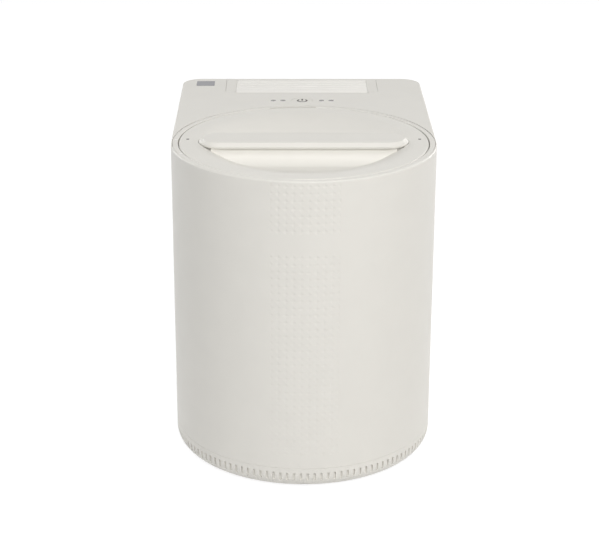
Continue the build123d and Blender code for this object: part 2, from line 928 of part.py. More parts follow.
# Gearbox, with its bushes and the output shaft that stands in the middle of the well
output_tip = output_module * (output_teeth / 2 + 1)
wheel_tip = wheel_module * (wheel_teeth / 2 + 1)
motor_tip = wheel_module * (motor_teeth / 2 + 1)
output_bush_radius = output_shaft_radius + fit_clearance + bush_wall
idler_bush_radius = idler_shaft_radius + fit_clearance + bush_wall
shaft_top = well_floor_height + well_wall + dog_lift
tower_top = gearbox_top + gearbox_wall + tower_height
low_bush = gearbox_bottom + bush_seat_wall
idler_boss_top = wheel_z - seam_gap
output_boss_top = gearbox_floor_z + output_boss_height


def gearbox_outline(margin):
    """The outline that wraps the three gears with a margin."""
    with BuildSketch() as outline:
        with Locations((0, bay_y)):
            Circle(output_tip + margin)
        with Locations((0, idler_y)):
            Circle(wheel_tip + margin)
        with Locations((0, motor_y)):
            Circle(motor_tip + margin + gearbox_foot_radius)
        make_hull()
    return outline.sketch


cover_screw_places = [
    (side * (output_tip + gear_wall_gap + gearbox_wall + screw_head_radius), bay_y)
    for side in (-1, 1)
] + [(0, motor_y + motor_radius + gearbox_foot_radius)]

with BuildPart() as gearbox_case:
    with BuildSketch(Plane.XY.offset(gearbox_bottom)):
        add(gearbox_outline(gear_wall_gap + gearbox_wall))
        with Locations(*cover_screw_places):
            Circle(post_radius)
        make_hull()
    extrude(amount=gearbox_height)
    with BuildSketch(Plane.XY.offset(gearbox_floor_z)):
        add(gearbox_outline(gear_wall_gap))
    extrude(amount=gearbox_height, mode=Mode.SUBTRACT)
    with BuildSketch(Plane.XY.offset(gearbox_floor_z)):
        with Locations((0, bay_y)):
            Circle(output_bush_radius + gearbox_wall)
    extrude(amount=output_boss_height)
    with BuildSketch(Plane.XY.offset(gearbox_floor_z)):
        with Locations((0, idler_y)):
            Circle(idler_bush_radius + gearbox_wall)
    extrude(amount=idler_boss_top - gearbox_floor_z)
    with BuildSketch(Plane.XY.offset(low_bush)):
        with Locations((0, bay_y)):
            Circle(output_bush_radius)
        with Locations((0, idler_y)):
            Circle(idler_bush_radius)
    extrude(amount=gearbox_height, mode=Mode.SUBTRACT)
    with BuildSketch(Plane.XY.offset(gearbox_top)):
        with Locations(*cover_screw_places):
            Circle(screw_hole)
    extrude(amount=-screw_length, mode=Mode.SUBTRACT)
    with BuildSketch(Plane.XY.offset(inner_floor_z)):
        with Locations(*gearbox_foot_places):
            Circle(gearbox_foot_radius)
    extrude(amount=gearbox_bottom - inner_floor_z)
gearbox_case.part.label = "gearbox_case"
export_step(gearbox_case.part, "parts/gearbox_case.step")

with BuildPart() as gearbox_cover:
    with BuildSketch(Plane.XY.offset(gearbox_top)):
        add(gearbox_outline(gear_wall_gap + gearbox_wall))
        with Locations(*cover_screw_places):
            Circle(post_radius)
        make_hull()
    extrude(amount=gearbox_wall)
    with BuildSketch(bay_plane(gearbox_top)):
        Circle(tower_radius)
    extrude(amount=tower_height + gearbox_wall)
    with BuildSketch(bay_plane(gearbox_top)):
        Circle(output_shaft_radius + gearbox_wall)
    extrude(amount=tower_height + gearbox_wall, mode=Mode.SUBTRACT)
    with BuildSketch(bay_plane(tower_top)):
        Circle(output_bush_radius)
    extrude(amount=-tower_bush_length, mode=Mode.SUBTRACT)
    with BuildSketch(Plane.XY.offset(gearbox_top)):
        with Locations((0, idler_y)):
            Circle(idler_bush_radius)
        with Locations((0, motor_y)):
            Circle(motor_nose_radius)
        with Locations(*cover_screw_places):
            Circle(screw_hole)
    extrude(amount=gearbox_wall, mode=Mode.SUBTRACT)
gearbox_cover.part.label = "gearbox_cover"
export_step(gearbox_cover.part, "parts/gearbox_cover.step")

gearbox_screws = screws(cover_screw_places, gearbox_top + gearbox_wall, -1)
gearbox_screws.label = "gearbox_screws"
export_step(gearbox_screws, "parts/gearbox_screws.step")


def bush(x, y, bottom, bore, height):
    """A plain bearing bush with a running fit on a shaft."""
    with BuildPart() as ring:
        with BuildSketch(Plane.XY.offset(bottom)):
            with Locations((x, y)):
                Circle(bore + fit_clearance + bush_wall)
                Circle(bore + fit_clearance, mode=Mode.SUBTRACT)
        extrude(amount=height)
    return ring.part


with BuildPart() as shaft_bushes:
    add(bush(0, bay_y, low_bush, output_shaft_radius, output_boss_top - low_bush))
    add(bush(0, bay_y, tower_top - tower_bush_length, output_shaft_radius, tower_bush_length))
    add(bush(0, idler_y, low_bush, idler_shaft_radius, idler_boss_top - low_bush))
    add(bush(0, idler_y, gearbox_top, idler_shaft_radius, gearbox_wall))
shaft_bushes.part.label = "shaft_bushes"
export_step(shaft_bushes.part, "parts/shaft_bushes.step")

# Drive motor, standing on the gearbox cover
motor_bottom = gearbox_top + gearbox_wall
with BuildPart() as drive_motor:
    with BuildSketch(Plane((0, motor_y, motor_bottom))):
        Circle(motor_radius)
    extrude(amount=motor_height)
    fillet(drive_motor.edges().group_by(Axis.Z)[-1], motor_nose_height)
    with BuildSketch(Plane((0, motor_y, motor_bottom))):
        Circle(motor_nose_radius - fit_clearance)
    extrude(amount=-motor_nose_height)
    with BuildSketch(Plane((0, motor_y, motor_bottom - motor_nose_height))):
        Circle(motor_shaft_radius + fit_clearance)
    extrude(amount=motor_height, mode=Mode.SUBTRACT)
drive_motor.part.label = "drive_motor"
export_step(drive_motor.part, "parts/drive_motor.step")

# Gears and shafts, in mesh at rest
toward_motor = 90
toward_bay = -90
half_pinion_pitch = 180 / pinion_teeth
half_motor_pitch = 180 / motor_teeth

with BuildPart() as output_gear:
    add(gear_disc(bay_plane(output_gear_z), output_module, output_teeth, toward_motor, output_face))
    with BuildSketch(bay_plane(output_gear_z)):
        Circle(output_shaft_radius)
    extrude(amount=output_face, mode=Mode.SUBTRACT)
    with BuildSketch(bay_plane(output_gear_z + output_face)):
        Circle(output_tip - output_rim_width)
        Circle(output_shaft_radius + output_hub_wall, mode=Mode.SUBTRACT)
    extrude(amount=-output_web_drop, mode=Mode.SUBTRACT)
output_gear.part.label = "output_gear"
export_step(output_gear.part, "parts/output_gear.step")

with BuildPart() as output_shaft:
    with BuildSketch(bay_plane(low_bush)):
        Circle(output_shaft_radius)
    extrude(amount=shaft_top - low_bush)
output_shaft.part.label = "output_shaft"
export_step(output_shaft.part, "parts/output_shaft.step")

with BuildPart() as drive_dog:
    with BuildSketch(bay_plane(shaft_top)):
        RegularPolygon(dog_width / 2, 6, major_radius=False)
    extrude(amount=dog_height)
    chamfer(drive_dog.edges().group_by(Axis.Z)[-1], dog_chamfer)
drive_dog.part.label = "drive_dog"
export_step(drive_dog.part, "parts/drive_dog.step")

with BuildPart() as intermediate_gear:
    wheel_plane = Plane((0, idler_y, wheel_z))
    add(gear_disc(wheel_plane, wheel_module, wheel_teeth, toward_motor, wheel_face))
    pinion_plane = Plane((0, idler_y, wheel_z + wheel_face))
    pinion_length = output_gear_z + output_face + gear_side_gap - wheel_z - wheel_face
    add(gear_disc(pinion_plane, output_module, pinion_teeth, toward_bay + half_pinion_pitch, pinion_length))
    with BuildSketch(Plane((0, idler_y, low_bush + seam_gap))):
        Circle(idler_shaft_radius)
    extrude(amount=gearbox_top + gearbox_wall - low_bush - seam_gap)
intermediate_gear.part.label = "intermediate_gear"
export_step(intermediate_gear.part, "parts/intermediate_gear.step")

with BuildPart() as motor_pinion:
    rotor_plane = Plane((0, motor_y, wheel_z - gear_side_gap / 2))
    rotor_face = wheel_face + gear_side_gap
    add(gear_disc(rotor_plane, wheel_module, motor_teeth, toward_bay + half_motor_pitch, rotor_face))
    with BuildSketch(rotor_plane):
        Circle(motor_shaft_radius)
    extrude(amount=motor_bottom + motor_shaft_reach - wheel_z)
motor_pinion.part.label = "motor_pinion"
export_step(motor_pinion.part, "parts/motor_pinion.step")

with BuildPart() as shaft_seal:
    with BuildSketch(bay_plane(well_floor_height - seal_thickness)):
        Circle(seal_radius + seal_flange)
    extrude(amount=seal_thickness)
    with BuildSketch(bay_plane(well_floor_height)):
        Circle(seal_radius)
    extrude(amount=well_wall)
    with BuildSketch(bay_plane(well_floor_height - seal_thickness)):
        Circle(output_shaft_radius + fit_clearance)
    extrude(amount=seal_thickness + well_wall, mode=Mode.SUBTRACT)
shaft_seal.part.label = "shaft_seal"
export_step(shaft_seal.part, "parts/shaft_seal.step")

# Lift-out bucket, with its floor bush, fixed blades and bail ears
ear_outer = math.sqrt((bail_radius - bail_wire_radius) ** 2 - (bail_ear_width / 2) ** 2) - rest_gap

with BuildPart() as bucket_pot:
    with BuildSketch(bay_plane(bucket_floor_z)):
        Circle(bucket_outer)
    extrude(amount=bucket_top - bucket_floor_z)
    fillet(bucket_pot.edges().group_by(Axis.Z)[0], bucket_corner_radius)
    with BuildSketch(bay_plane(bucket_top)):
        Circle(rim_outer)
        Circle(bucket_radius, mode=Mode.SUBTRACT)
    extrude(amount=-bucket_rim_height)
    fillet(bucket_pot.edges().group_by(Axis.Z)[-1].sort_by(SortBy.LENGTH)[-1], bucket_rim_round)
    with BuildSketch(bay_plane(bucket_bottom)):
        Circle(bucket_foot_radius)
        Circle(bucket_foot_radius - bucket_foot_wall, mode=Mode.SUBTRACT)
    extrude(amount=bucket_foot_height + bucket_floor)
bucket_corner = bucket_corner_radius - bucket_wall
with BuildPart() as bucket_hollow:
    with BuildSketch(bay_plane(bucket_inner_floor)):
        Circle(bucket_radius)
    extrude(amount=bucket_top - bucket_inner_floor)
    fillet(bucket_hollow.edges().group_by(Axis.Z)[0], bucket_corner)
with bucket_pot:
    add(bucket_hollow.part, mode=Mode.SUBTRACT)
    with BuildSketch(bay_plane(bucket_bottom)):
        Circle(bush_radius)
    extrude(amount=bucket_inner_floor - bucket_bottom, mode=Mode.SUBTRACT)
bucket_pot.part.label = "bucket_pot"
export_step(bucket_pot.part, "parts/bucket_pot.step")

with BuildPart() as bucket_bush:
    with BuildSketch(bay_plane(bucket_floor_z)):
        Circle(bush_radius)
    extrude(amount=bucket_floor)
    with BuildSketch(bay_plane(bucket_floor_z)):
        Circle(bush_flange_radius)
    extrude(amount=-bush_flange_height)
    with BuildSketch(bay_plane(bucket_floor_z - bush_flange_height)):
        Circle(agitator_barrel_radius + fit_clearance)
    extrude(amount=bucket_floor + bush_flange_height, mode=Mode.SUBTRACT)
bucket_bush.part.label = "bucket_bush"
export_step(bucket_bush.part, "parts/bucket_bush.step")

with BuildPart() as fixed_blades:
    with BuildSketch(bay_plane(bucket_inner_floor + blade_lift)):
        with PolarLocations(bucket_radius - blade_length / 2, blade_count, blade_first_angle):
            Rectangle(blade_length, blade_width)
        Circle(bucket_radius - blade_wall_gap, mode=Mode.INTERSECT)
    extrude(amount=blade_thickness)
    upper_edges = fixed_blades.edges().group_by(Axis.Z)[-1].filter_by(GeomType.LINE)
    chamfer(upper_edges.filter_by(lambda edge: edge.length > blade_width), blade_chamfer)
fixed_blades.part.label = "fixed_blades"
export_step(fixed_blades.part, "parts/fixed_blades.step")

with BuildPart() as bail_ears:
    with BuildSketch(bay_plane(bail_height - bail_ear_height / 2)):
        Rectangle(2 * ear_outer, bail_ear_width)
        Circle(bucket_outer + fit_clearance, mode=Mode.SUBTRACT)
    extrude(amount=bail_ear_height)
    outer_edges = bail_ears.edges().filter_by(Axis.X)
    fillet(outer_edges, bail_ear_round)
    with BuildSketch(Plane((0, bay_y, bail_height), z_dir=(1, 0, 0))):
        Circle(bail_wire_radius + fit_clearance)
    extrude(amount=ear_outer, both=True, mode=Mode.SUBTRACT)
bail_ears.part.label = "bail_ears"
export_step(bail_ears.part, "parts/bail_ears.step")

# Bail handle, lying round the front of the bucket, with its pins turned inwards
pin_end = ear_outer - bail_pin_length
bay_axis = Axis((0, bay_y, 0), (0, 0, 1))


def bail_plane(angle):
    """The upright plane across the bail's wire at an angle round the bay."""
    turn = math.radians(angle)
    place = (bail_radius * math.cos(turn), bay_y + bail_radius * math.sin(turn), bail_height)
    return Plane(place, z_dir=(math.sin(turn), -math.cos(turn), 0))


with BuildPart() as bail_handle:
    with BuildSketch(bail_plane(0)):
        Circle(bail_wire_radius)
    revolve(axis=bay_axis, revolution_arc=-180)
    with BuildSketch(Plane((0, bay_y, bail_height), z_dir=(1, 0, 0))):
        Circle(bail_wire_radius)
    extrude(amount=bail_radius, both=True)
    with Locations((-bail_radius, bay_y, bail_height), (bail_radius, bay_y, bail_height)):
        Sphere(bail_wire_radius)
    with BuildSketch(Plane((0, bay_y, bail_height), z_dir=(1, 0, 0))):
        Circle(2 * bail_wire_radius)
    extrude(amount=pin_end, both=True, mode=Mode.SUBTRACT)
bail_handle.part.label = "bail_handle"
export_step(bail_handle.part, "parts/bail_handle.step")

with BuildPart() as bail_grip:
    with BuildSketch(bail_plane(grip_half_angle - 90)):
        Circle(grip_radius)
        Circle(bail_wire_radius, mode=Mode.SUBTRACT)
    revolve(axis=bay_axis, revolution_arc=-2 * grip_half_angle)
bail_grip.part.label = "bail_grip"
export_step(bail_grip.part, "parts/bail_grip.step")

# Agitator, whose barrel turns in the bucket's bush and fits over the drive dog
barrel_bottom = bucket_bottom + fit_clearance
hub_bottom = bucket_inner_floor + rest_gap
arm_reach = bucket_radius - arm_gap
lower_arm_height = bucket_inner_floor + lower_arm_lift
upper_arm_height = bucket_inner_floor + upper_arm_lift
with BuildPart() as agitator:
    with BuildSketch(bay_plane(barrel_bottom)):
        Circle(agitator_barrel_radius)
    extrude(amount=hub_bottom - barrel_bottom)
    with BuildSketch(bay_plane(hub_bottom)):
        Circle(agitator_hub_radius)
    extrude(amount=agitator_hub_height)
    fillet(agitator.edges().group_by(Axis.Z)[-1], agitator_dome)
    for height, first_angle in ((lower_arm_height, 0), (upper_arm_height, 180 / arm_count)):
        for arm in range(arm_count):
            turn = math.radians(first_angle + 360 * arm / arm_count)
            outward = (math.cos(turn), math.sin(turn), 0)
            sideways = (-math.sin(turn), math.cos(turn), 0)
            arm_plane = Plane((0, bay_y, height), x_dir=sideways, z_dir=outward)
            with BuildSketch(arm_plane):
                RectangleRounded(arm_width, arm_height, arm_round, rotation=arm_tilt)
            extrude(amount=arm_reach)
    with BuildSketch(bay_plane(barrel_bottom)):
        RegularPolygon(dog_width / 2 + socket_clearance, 6, major_radius=False)
    extrude(amount=shaft_top + dog_height + gear_side_gap - barrel_bottom, mode=Mode.SUBTRACT)
agitator.part.label = "agitator"
export_step(agitator.part, "parts/agitator.step")

# Lid liner, which closes the bucket and stays still while the lid turns on it
hub_bore = liner_pin_radius + fit_clearance
with BuildPart() as lid_liner:
    with BuildSketch(bay_plane(liner_bottom)):
        Circle(liner_radius)
    extrude(amount=liner_rim_height)
    with BuildSketch(bay_plane(liner_bottom + liner_wall)):
        Circle(liner_radius - liner_wall)
    extrude(amount=liner_rim_height, mode=Mode.SUBTRACT)
    with BuildSketch(bay_plane(liner_bottom)):
        Circle(liner_hub_radius)
    extrude(amount=liner_hub_height)
    with BuildSketch(bay_plane(liner_bottom)):
        with PolarLocations(liner_radius / 2, liner_rib_count, 180 / liner_slot_count):
            Rectangle(liner_radius - liner_wall, liner_wall)
    extrude(amount=liner_wall + liner_rib_height)
    with BuildSketch(bay_plane(liner_bottom)):
        Circle(hub_bore)
    extrude(amount=liner_hub_height, mode=Mode.SUBTRACT)
    with BuildSketch(bay_plane(liner_bottom)):
        with PolarLocations(liner_radius / 2, liner_slot_count):
            SlotOverall(liner_slot_length, liner_slot_width)
    extrude(amount=liner_wall, mode=Mode.SUBTRACT)
lid_liner.part.label = "lid_liner"
export_step(lid_liner.part, "parts/lid_liner.step")

with BuildPart() as lid_gasket:
    with BuildSketch(bay_plane(bucket_top + rest_gap)):
        Circle(rim_outer)
        Circle(rim_outer - gasket_width, mode=Mode.SUBTRACT)
    extrude(amount=gasket_height)
    chamfer(lid_gasket.edges().group_by(Axis.Z)[0], gasket_chamfer)
lid_gasket.part.label = "lid_gasket"
export_step(lid_gasket.part, "parts/lid_gasket.step")

# Lid, with its bowl and ridge, the pockets for the grip bar's ends, the lugs and the liner's pin

def bowl_solid(margin, drop):
    """The bowl's hollow as a solid, wider by margin and lower by drop."""
    with BuildPart() as bowl:
        for band in range(bowl_bands + 1):
            step = band / bowl_bands
            fall = bowl_depth * step * step * (3 - 2 * step)
            with BuildSketch(bay_plane(case_height - fall - drop)):
                Ellipse(
                    bowl_half_width + margin - bowl_side_slope * step,
                    bowl_half_depth + margin - bowl_end_slope * step,
                )
        loft(ruled=True)
    return bowl.part


bar_inner_end = bar_length / 2 - bar_foot_length
bar_screw_places = [(side * (bar_length / 2 - bar_screw_inset), bay_y) for side in (-1, 1)]
pocket_floor = case_height - bar_pocket_depth
bar_bottom = case_height + bar_rise - bar_thickness
ridge_length = 2 * (bar_inner_end - bar_gap)
ridge_flare = bar_bottom - case_height + bowl_depth
liner_pin_bottom = liner_bottom - rest_gap


def ridge_solid(inset):
    """The ridge under the grip bar, with its flanks hollowed, as a solid drawn in by inset."""
    top = bar_bottom - inset
    half = bar_width / 2 - ridge_inset - inset
    foot = half + ridge_flare
    floor = top - ridge_flare
    under = floor - lid_wall / 2
    with BuildPart() as ridge:
        with BuildSketch(Plane((inset - ridge_length / 2, bay_y, 0), x_dir=(0, 1, 0), z_dir=(1, 0, 0))):
            with BuildLine():
                Line((-half, top), (half, top))
                CenterArc((foot, top), ridge_flare, 180, 90)
                Polyline((foot, floor), (foot, under), (-foot, under), (-foot, floor))
                CenterArc((-foot, top), ridge_flare, 270, 90)
            make_face()
        extrude(amount=ridge_length - 2 * inset)
    return ridge.part


with BuildPart() as lid_shell:
    with BuildSketch(bay_plane(case_height - lid_skirt_height)):
        Circle(lid_radius)
        Circle(lid_radius - lid_wall, mode=Mode.SUBTRACT)
    extrude(amount=lid_skirt_height)
    with BuildSketch(bay_plane(case_height - lid_wall)):
        Circle(lid_radius)
    extrude(amount=lid_wall)
    fillet(lid_shell.edges().group_by(Axis.Z)[-1], lid_edge_round)
    add(bowl_solid(lid_wall / 2, lid_wall))
    with BuildSketch(bay_plane(pocket_floor - lid_wall)):
        SlotOverall(bar_length + 2 * bar_gap + 2 * lid_wall, bar_width + 2 * bar_gap + 2 * lid_wall)
        Rectangle(2 * bar_inner_end - 2 * lid_wall, bar_width * 2, mode=Mode.SUBTRACT)
    extrude(amount=bar_pocket_depth)
    add(bowl_solid(0, 0), mode=Mode.SUBTRACT)
    add(ridge_solid(0))
    add(ridge_solid(lid_wall), mode=Mode.SUBTRACT)
    with BuildSketch(bay_plane(bowl_under)):
        Rectangle(ridge_length - lid_wall, lid_wall)
    extrude(amount=bar_bottom - lid_wall / 2 - bowl_under)
    with BuildSketch(bay_plane(bar_bottom)):
        SlotOverall(bar_length + 2 * bar_gap, bar_width + 2 * bar_gap)
    extrude(amount=bar_pocket_depth, mode=Mode.SUBTRACT)
    with BuildSketch(bay_plane(pocket_floor)):
        SlotOverall(bar_length + 2 * bar_gap, bar_width + 2 * bar_gap)
        Rectangle(ridge_length, bar_width * 2, mode=Mode.SUBTRACT)
    extrude(amount=bar_pocket_depth, mode=Mode.SUBTRACT)
    for centre in lug_centres:
        add(
            arc_sector(
                bay_plane(case_height - lug_top_drop - lug_height),
                lid_radius - lid_wall / 2,
                lug_outer,
                centre - lug_half_angle,
                centre + lug_half_angle,
                lug_height,
            )
        )
    with BuildSketch(bay_plane(liner_pin_bottom)):
        Circle(liner_pin_radius)
    extrude(amount=bar_bottom - lid_wall / 2 - liner_pin_bottom)
    with BuildSketch(bay_plane(liner_pin_bottom)):
        Circle(liner_screw_radius)
    extrude(amount=liner_screw_length, mode=Mode.SUBTRACT)
    with BuildSketch(Plane.XY.offset(pocket_floor)):
        with Locations(*bar_screw_places):
            Circle(screw_hole)
    extrude(amount=-2 * lid_wall, mode=Mode.SUBTRACT)
lid_shell.part.label = "lid_shell"
export_step(lid_shell.part, "parts/lid_shell.step")

with BuildPart() as liner_screw:
    with BuildSketch(bay_plane(liner_pin_bottom)):
        Circle(washer_radius)
    extrude(amount=-washer_height)
    chamfer(liner_screw.edges().group_by(Axis.Z)[0], washer_chamfer)
    with BuildSketch(bay_plane(liner_pin_bottom)):
        Circle(liner_screw_radius)
    extrude(amount=liner_screw_length)
liner_screw.part.label = "liner_screw"
export_step(liner_screw.part, "parts/liner_screw.step")

bar_screw_seat = pocket_floor - lid_wall
bar_screw_length = lid_wall + bar_screw_bite
with BuildPart() as handle_bar:
    with BuildSketch(bay_plane(bar_bottom)):
        SlotOverall(bar_length, bar_width)
    extrude(amount=bar_thickness)
    chamfer(handle_bar.edges().group_by(Axis.Z)[-1], bar_bevel)
    fillet(handle_bar.edges().group_by(Axis.Z)[0], bar_edge_round / 2)
    with BuildSketch(bay_plane(pocket_floor)):
        SlotOverall(bar_length - 2 * bar_edge_round, bar_width - 2 * bar_edge_round)
        Rectangle(2 * bar_inner_end, bar_width, mode=Mode.SUBTRACT)
    extrude(amount=bar_bottom - pocket_floor + bar_foot_overlap)
    with BuildSketch(Plane.XY.offset(pocket_floor)):
        with Locations(*bar_screw_places):
            Circle(screw_hole)
    extrude(amount=bar_screw_bite, mode=Mode.SUBTRACT)
handle_bar.part.label = "handle_bar"
export_step(handle_bar.part, "parts/handle_bar.step")

with BuildPart() as handle_screws:
    with BuildSketch(Plane.XY.offset(bar_screw_seat)):
        with Locations(*bar_screw_places):
            Circle(screw_head_radius)
    extrude(amount=-screw_head_height)
    with BuildSketch(Plane.XY.offset(bar_screw_seat)):
        with Locations(*bar_screw_places):
            Circle(screw_radius)
    extrude(amount=bar_screw_length)
handle_screws.part.label = "handle_screws"
export_step(handle_screws.part, "parts/handle_screws.step")

# Exhaust duct from the well's port, down behind the well and up into the fan
duct_front_y = bay_y + jacket_radius + duct_jacket_gap
duct_back_y = filter_y + fan_size / 2


def duct_solid(inset):
    """The duct's three limbs as one solid, drawn in by inset."""
    with BuildPart() as limbs:
        with BuildSketch(Plane.XY.offset(duct_inlet_bottom + inset)):
            inlet_length = duct_front_y + duct_depth - bay_y
            with Locations((0, bay_y + inlet_length / 2 - inset / 2)):
                Rectangle(2 * (duct_half_width - inset), inlet_length - inset)
        extrude(amount=duct_height - 2 * inset)
        with BuildSketch(Plane.XY.offset(duct_bottom + inset)):
            with Locations((0, duct_front_y + duct_depth / 2)):
                Rectangle(2 * (duct_half_width - inset), duct_depth - 2 * inset)
        extrude(amount=duct_inlet_bottom + duct_height - duct_bottom - 2 * inset)
        with BuildSketch(Plane.XY.offset(duct_bottom + inset)):
            foot_length = duct_back_y - duct_front_y
            with Locations((0, duct_front_y + foot_length / 2)):
                Rectangle(2 * (duct_half_width - inset), foot_length - 2 * inset)
        extrude(amount=fan_bottom - duct_bottom - 2 * inset)
    return limbs.part


with BuildPart() as exhaust_duct:
    add(duct_solid(0))
    add(duct_solid(duct_wall), mode=Mode.SUBTRACT)
    with BuildSketch(Plane.XY.offset(fan_bottom - duct_wall)):
        with Locations((0, filter_y)):
            Circle(duct_outlet_radius)
    extrude(amount=duct_wall, mode=Mode.SUBTRACT)
    with BuildSketch(bay_plane(duct_inlet_bottom)):
        Circle(well_outer + jacket_gap)
    extrude(amount=duct_height, mode=Mode.SUBTRACT)
exhaust_duct.part.label = "exhaust_duct"
export_step(exhaust_duct.part, "parts/exhaust_duct.step")

# Fan, standing on the duct's end and blowing up into the filter chamber
with BuildPart() as fan_frame:
    with BuildSketch(Plane((0, filter_y, fan_bottom))):
        RectangleRounded(fan_size, fan_size, fan_corner)
        Circle(fan_bore, mode=Mode.SUBTRACT)
    extrude(amount=fan_height)
    with BuildSketch(Plane((0, filter_y, fan_bottom))):
        Circle(fan_hub_radius)
        Rectangle(2 * fan_bore + fan_wall, fan_strut_width)
        Rectangle(fan_strut_width, 2 * fan_bore + fan_wall)
    extrude(amount=fan_strut_height)
    with BuildSketch(Plane((0, filter_y, fan_bottom))):
        Circle(fan_pin_radius)
    extrude(amount=fan_pin_height)
fan_frame.part.label = "fan_frame"
export_step(fan_frame.part, "parts/fan_frame.step")

with BuildPart() as fan_impeller:
    with BuildSketch(Plane((0, filter_y, fan_bottom + fan_strut_height + rest_gap))):
        Circle(fan_hub_radius)
    extrude(amount=fan_blade_height)
    blade_reach = fan_bore - fan_tip_gap
    blade_mid_height = fan_bottom + fan_strut_height + rest_gap + fan_blade_height / 2
    for blade in range(fan_blade_count):
        turn = 2 * math.pi * blade / fan_blade_count
        outward = (math.cos(turn), math.sin(turn), 0)
        sideways = (-math.sin(turn), math.cos(turn), 0)
        with BuildSketch(Plane((0, filter_y, blade_mid_height), x_dir=sideways, z_dir=outward)):
            Rectangle(fan_blade_wall, fan_blade_height, rotation=fan_blade_angle)
        extrude(amount=blade_reach)
    with BuildSketch(Plane((0, filter_y, fan_bottom))):
        Circle(blade_reach)
    extrude(amount=fan_height, mode=Mode.INTERSECT)
    with BuildSketch(Plane((0, filter_y, fan_bottom))):
        Circle(fan_pin_radius + fit_clearance)
    extrude(amount=fan_pin_height + gear_side_gap, mode=Mode.SUBTRACT)
fan_impeller.part.label = "fan_impeller"
export_step(fan_impeller.part, "parts/fan_impeller.step")

# Filter chamber above the fan, open to the deck
chamber_inner_width = 2 * (chamber_half_width - chamber_wall)
chamber_inner_depth = chamber_depth - 2 * chamber_wall

with BuildPart() as filter_chamber:
    with BuildSketch(Plane((0, filter_y, fan_top))):
        Rectangle(2 * chamber_half_width, chamber_depth)
    extrude(amount=chamber_top - fan_top)
    with BuildSketch(Plane((0, filter_y, fan_top + chamber_wall))):
        Rectangle(chamber_inner_width, chamber_inner_depth)
    extrude(amount=chamber_top - fan_top, mode=Mode.SUBTRACT)
    with BuildSketch(Plane((0, filter_y, chamber_ledge_bottom))):
        Rectangle(2 * chamber_half_width, chamber_depth)
        Rectangle(
            chamber_inner_width - 2 * chamber_ledge_width,
            chamber_inner_depth - 2 * chamber_ledge_width,
            mode=Mode.SUBTRACT,
        )
    extrude(amount=chamber_ledge_height)
    with BuildSketch(Plane((0, filter_y, fan_top))):
        Circle(fan_bore - fan_wall)
    extrude(amount=chamber_wall, mode=Mode.SUBTRACT)
filter_chamber.part.label = "filter_chamber"
export_step(filter_chamber.part, "parts/filter_chamber.step")

# Filter cartridge, a box of carbon with a pull tab on top
cartridge_length = chamber_inner_width - 2 * cartridge_gap
cartridge_depth = chamber_inner_depth - 2 * cartridge_gap
hole_columns = int((cartridge_length - 2 * cartridge_wall) // cartridge_hole_pitch)
hole_rows = int((cartridge_depth - 2 * cartridge_wall) // cartridge_hole_pitch)
media_bottom = cartridge_bottom + cartridge_wall + media_gap
media_height = cartridge_height - 2 * cartridge_wall - media_headroom

with BuildPart() as filter_cartridge:
    with BuildSketch(Plane((0, filter_y, cartridge_bottom))):
        RectangleRounded(cartridge_length, cartridge_depth, cartridge_corner)
    extrude(amount=cartridge_height)
    with BuildSketch(Plane((0, filter_y, cartridge_bottom + cartridge_wall))):
        Rectangle(cartridge_length - 2 * cartridge_wall, cartridge_depth - 2 * cartridge_wall)
    extrude(amount=cartridge_height - 2 * cartridge_wall, mode=Mode.SUBTRACT)
    with BuildSketch(Plane((0, filter_y, cartridge_bottom))):
        with GridLocations(cartridge_hole_pitch, cartridge_hole_pitch, hole_columns, hole_rows):
            Circle(cartridge_hole_radius)
    extrude(amount=cartridge_height, mode=Mode.SUBTRACT)
filter_cartridge.part.label = "filter_cartridge"
export_step(filter_cartridge.part, "parts/filter_cartridge.step")

with BuildPart() as carbon_media:
    with BuildSketch(Plane((0, filter_y, media_bottom))):
        Rectangle(
            cartridge_length - 2 * cartridge_wall - 2 * media_gap,
            cartridge_depth - 2 * cartridge_wall - 2 * media_gap,
        )
    extrude(amount=media_height)
carbon_media.part.label = "carbon_media"
export_step(carbon_media.part, "parts/carbon_media.step")

with BuildPart() as filter_pull_tab:
    tab_origin = (0, filter_y, cartridge_bottom + cartridge_height)
    tab_plane = Plane(tab_origin, x_dir=(1, 0, 0), z_dir=(0, -1, 0))
    with BuildSketch(tab_plane):
        with Locations((0, tab_height / 2)):
            RectangleRounded(tab_width, tab_height, tab_height / 4)
            SlotOverall(tab_width / 2, tab_height / 3, mode=Mode.SUBTRACT)
    extrude(amount=tab_thickness / 2, both=True)
filter_pull_tab.part.label = "filter_pull_tab"
export_step(filter_pull_tab.part, "parts/filter_pull_tab.step")

# Filter cover, the lift-off panel at the back of the deck, and its louvred grille
grille_gap = fit_clearance
grille_mid_y = (tongue_y + grille_back_y) / 2
grille_width = 2 * (tongue_half_width - grille_inset)
grille_depth = grille_back_y - tongue_y - 2 * grille_inset
window_width = grille_width - 2 * grille_frame_width
window_depth = grille_depth - 2 * grille_frame_width
with BuildSketch() as cover_plan:
    with Locations((0, (cover_front_y + back_y) / 2)):
        Rectangle(2 * cover_half_width, back_y - cover_front_y)
    with Locations((0, (tongue_y + back_y) / 2)):
        Rectangle(2 * tongue_half_width, back_y - tongue_y)
    fillet(cover_plan.vertices().group_by(Axis.Y)[0], tongue_corner)

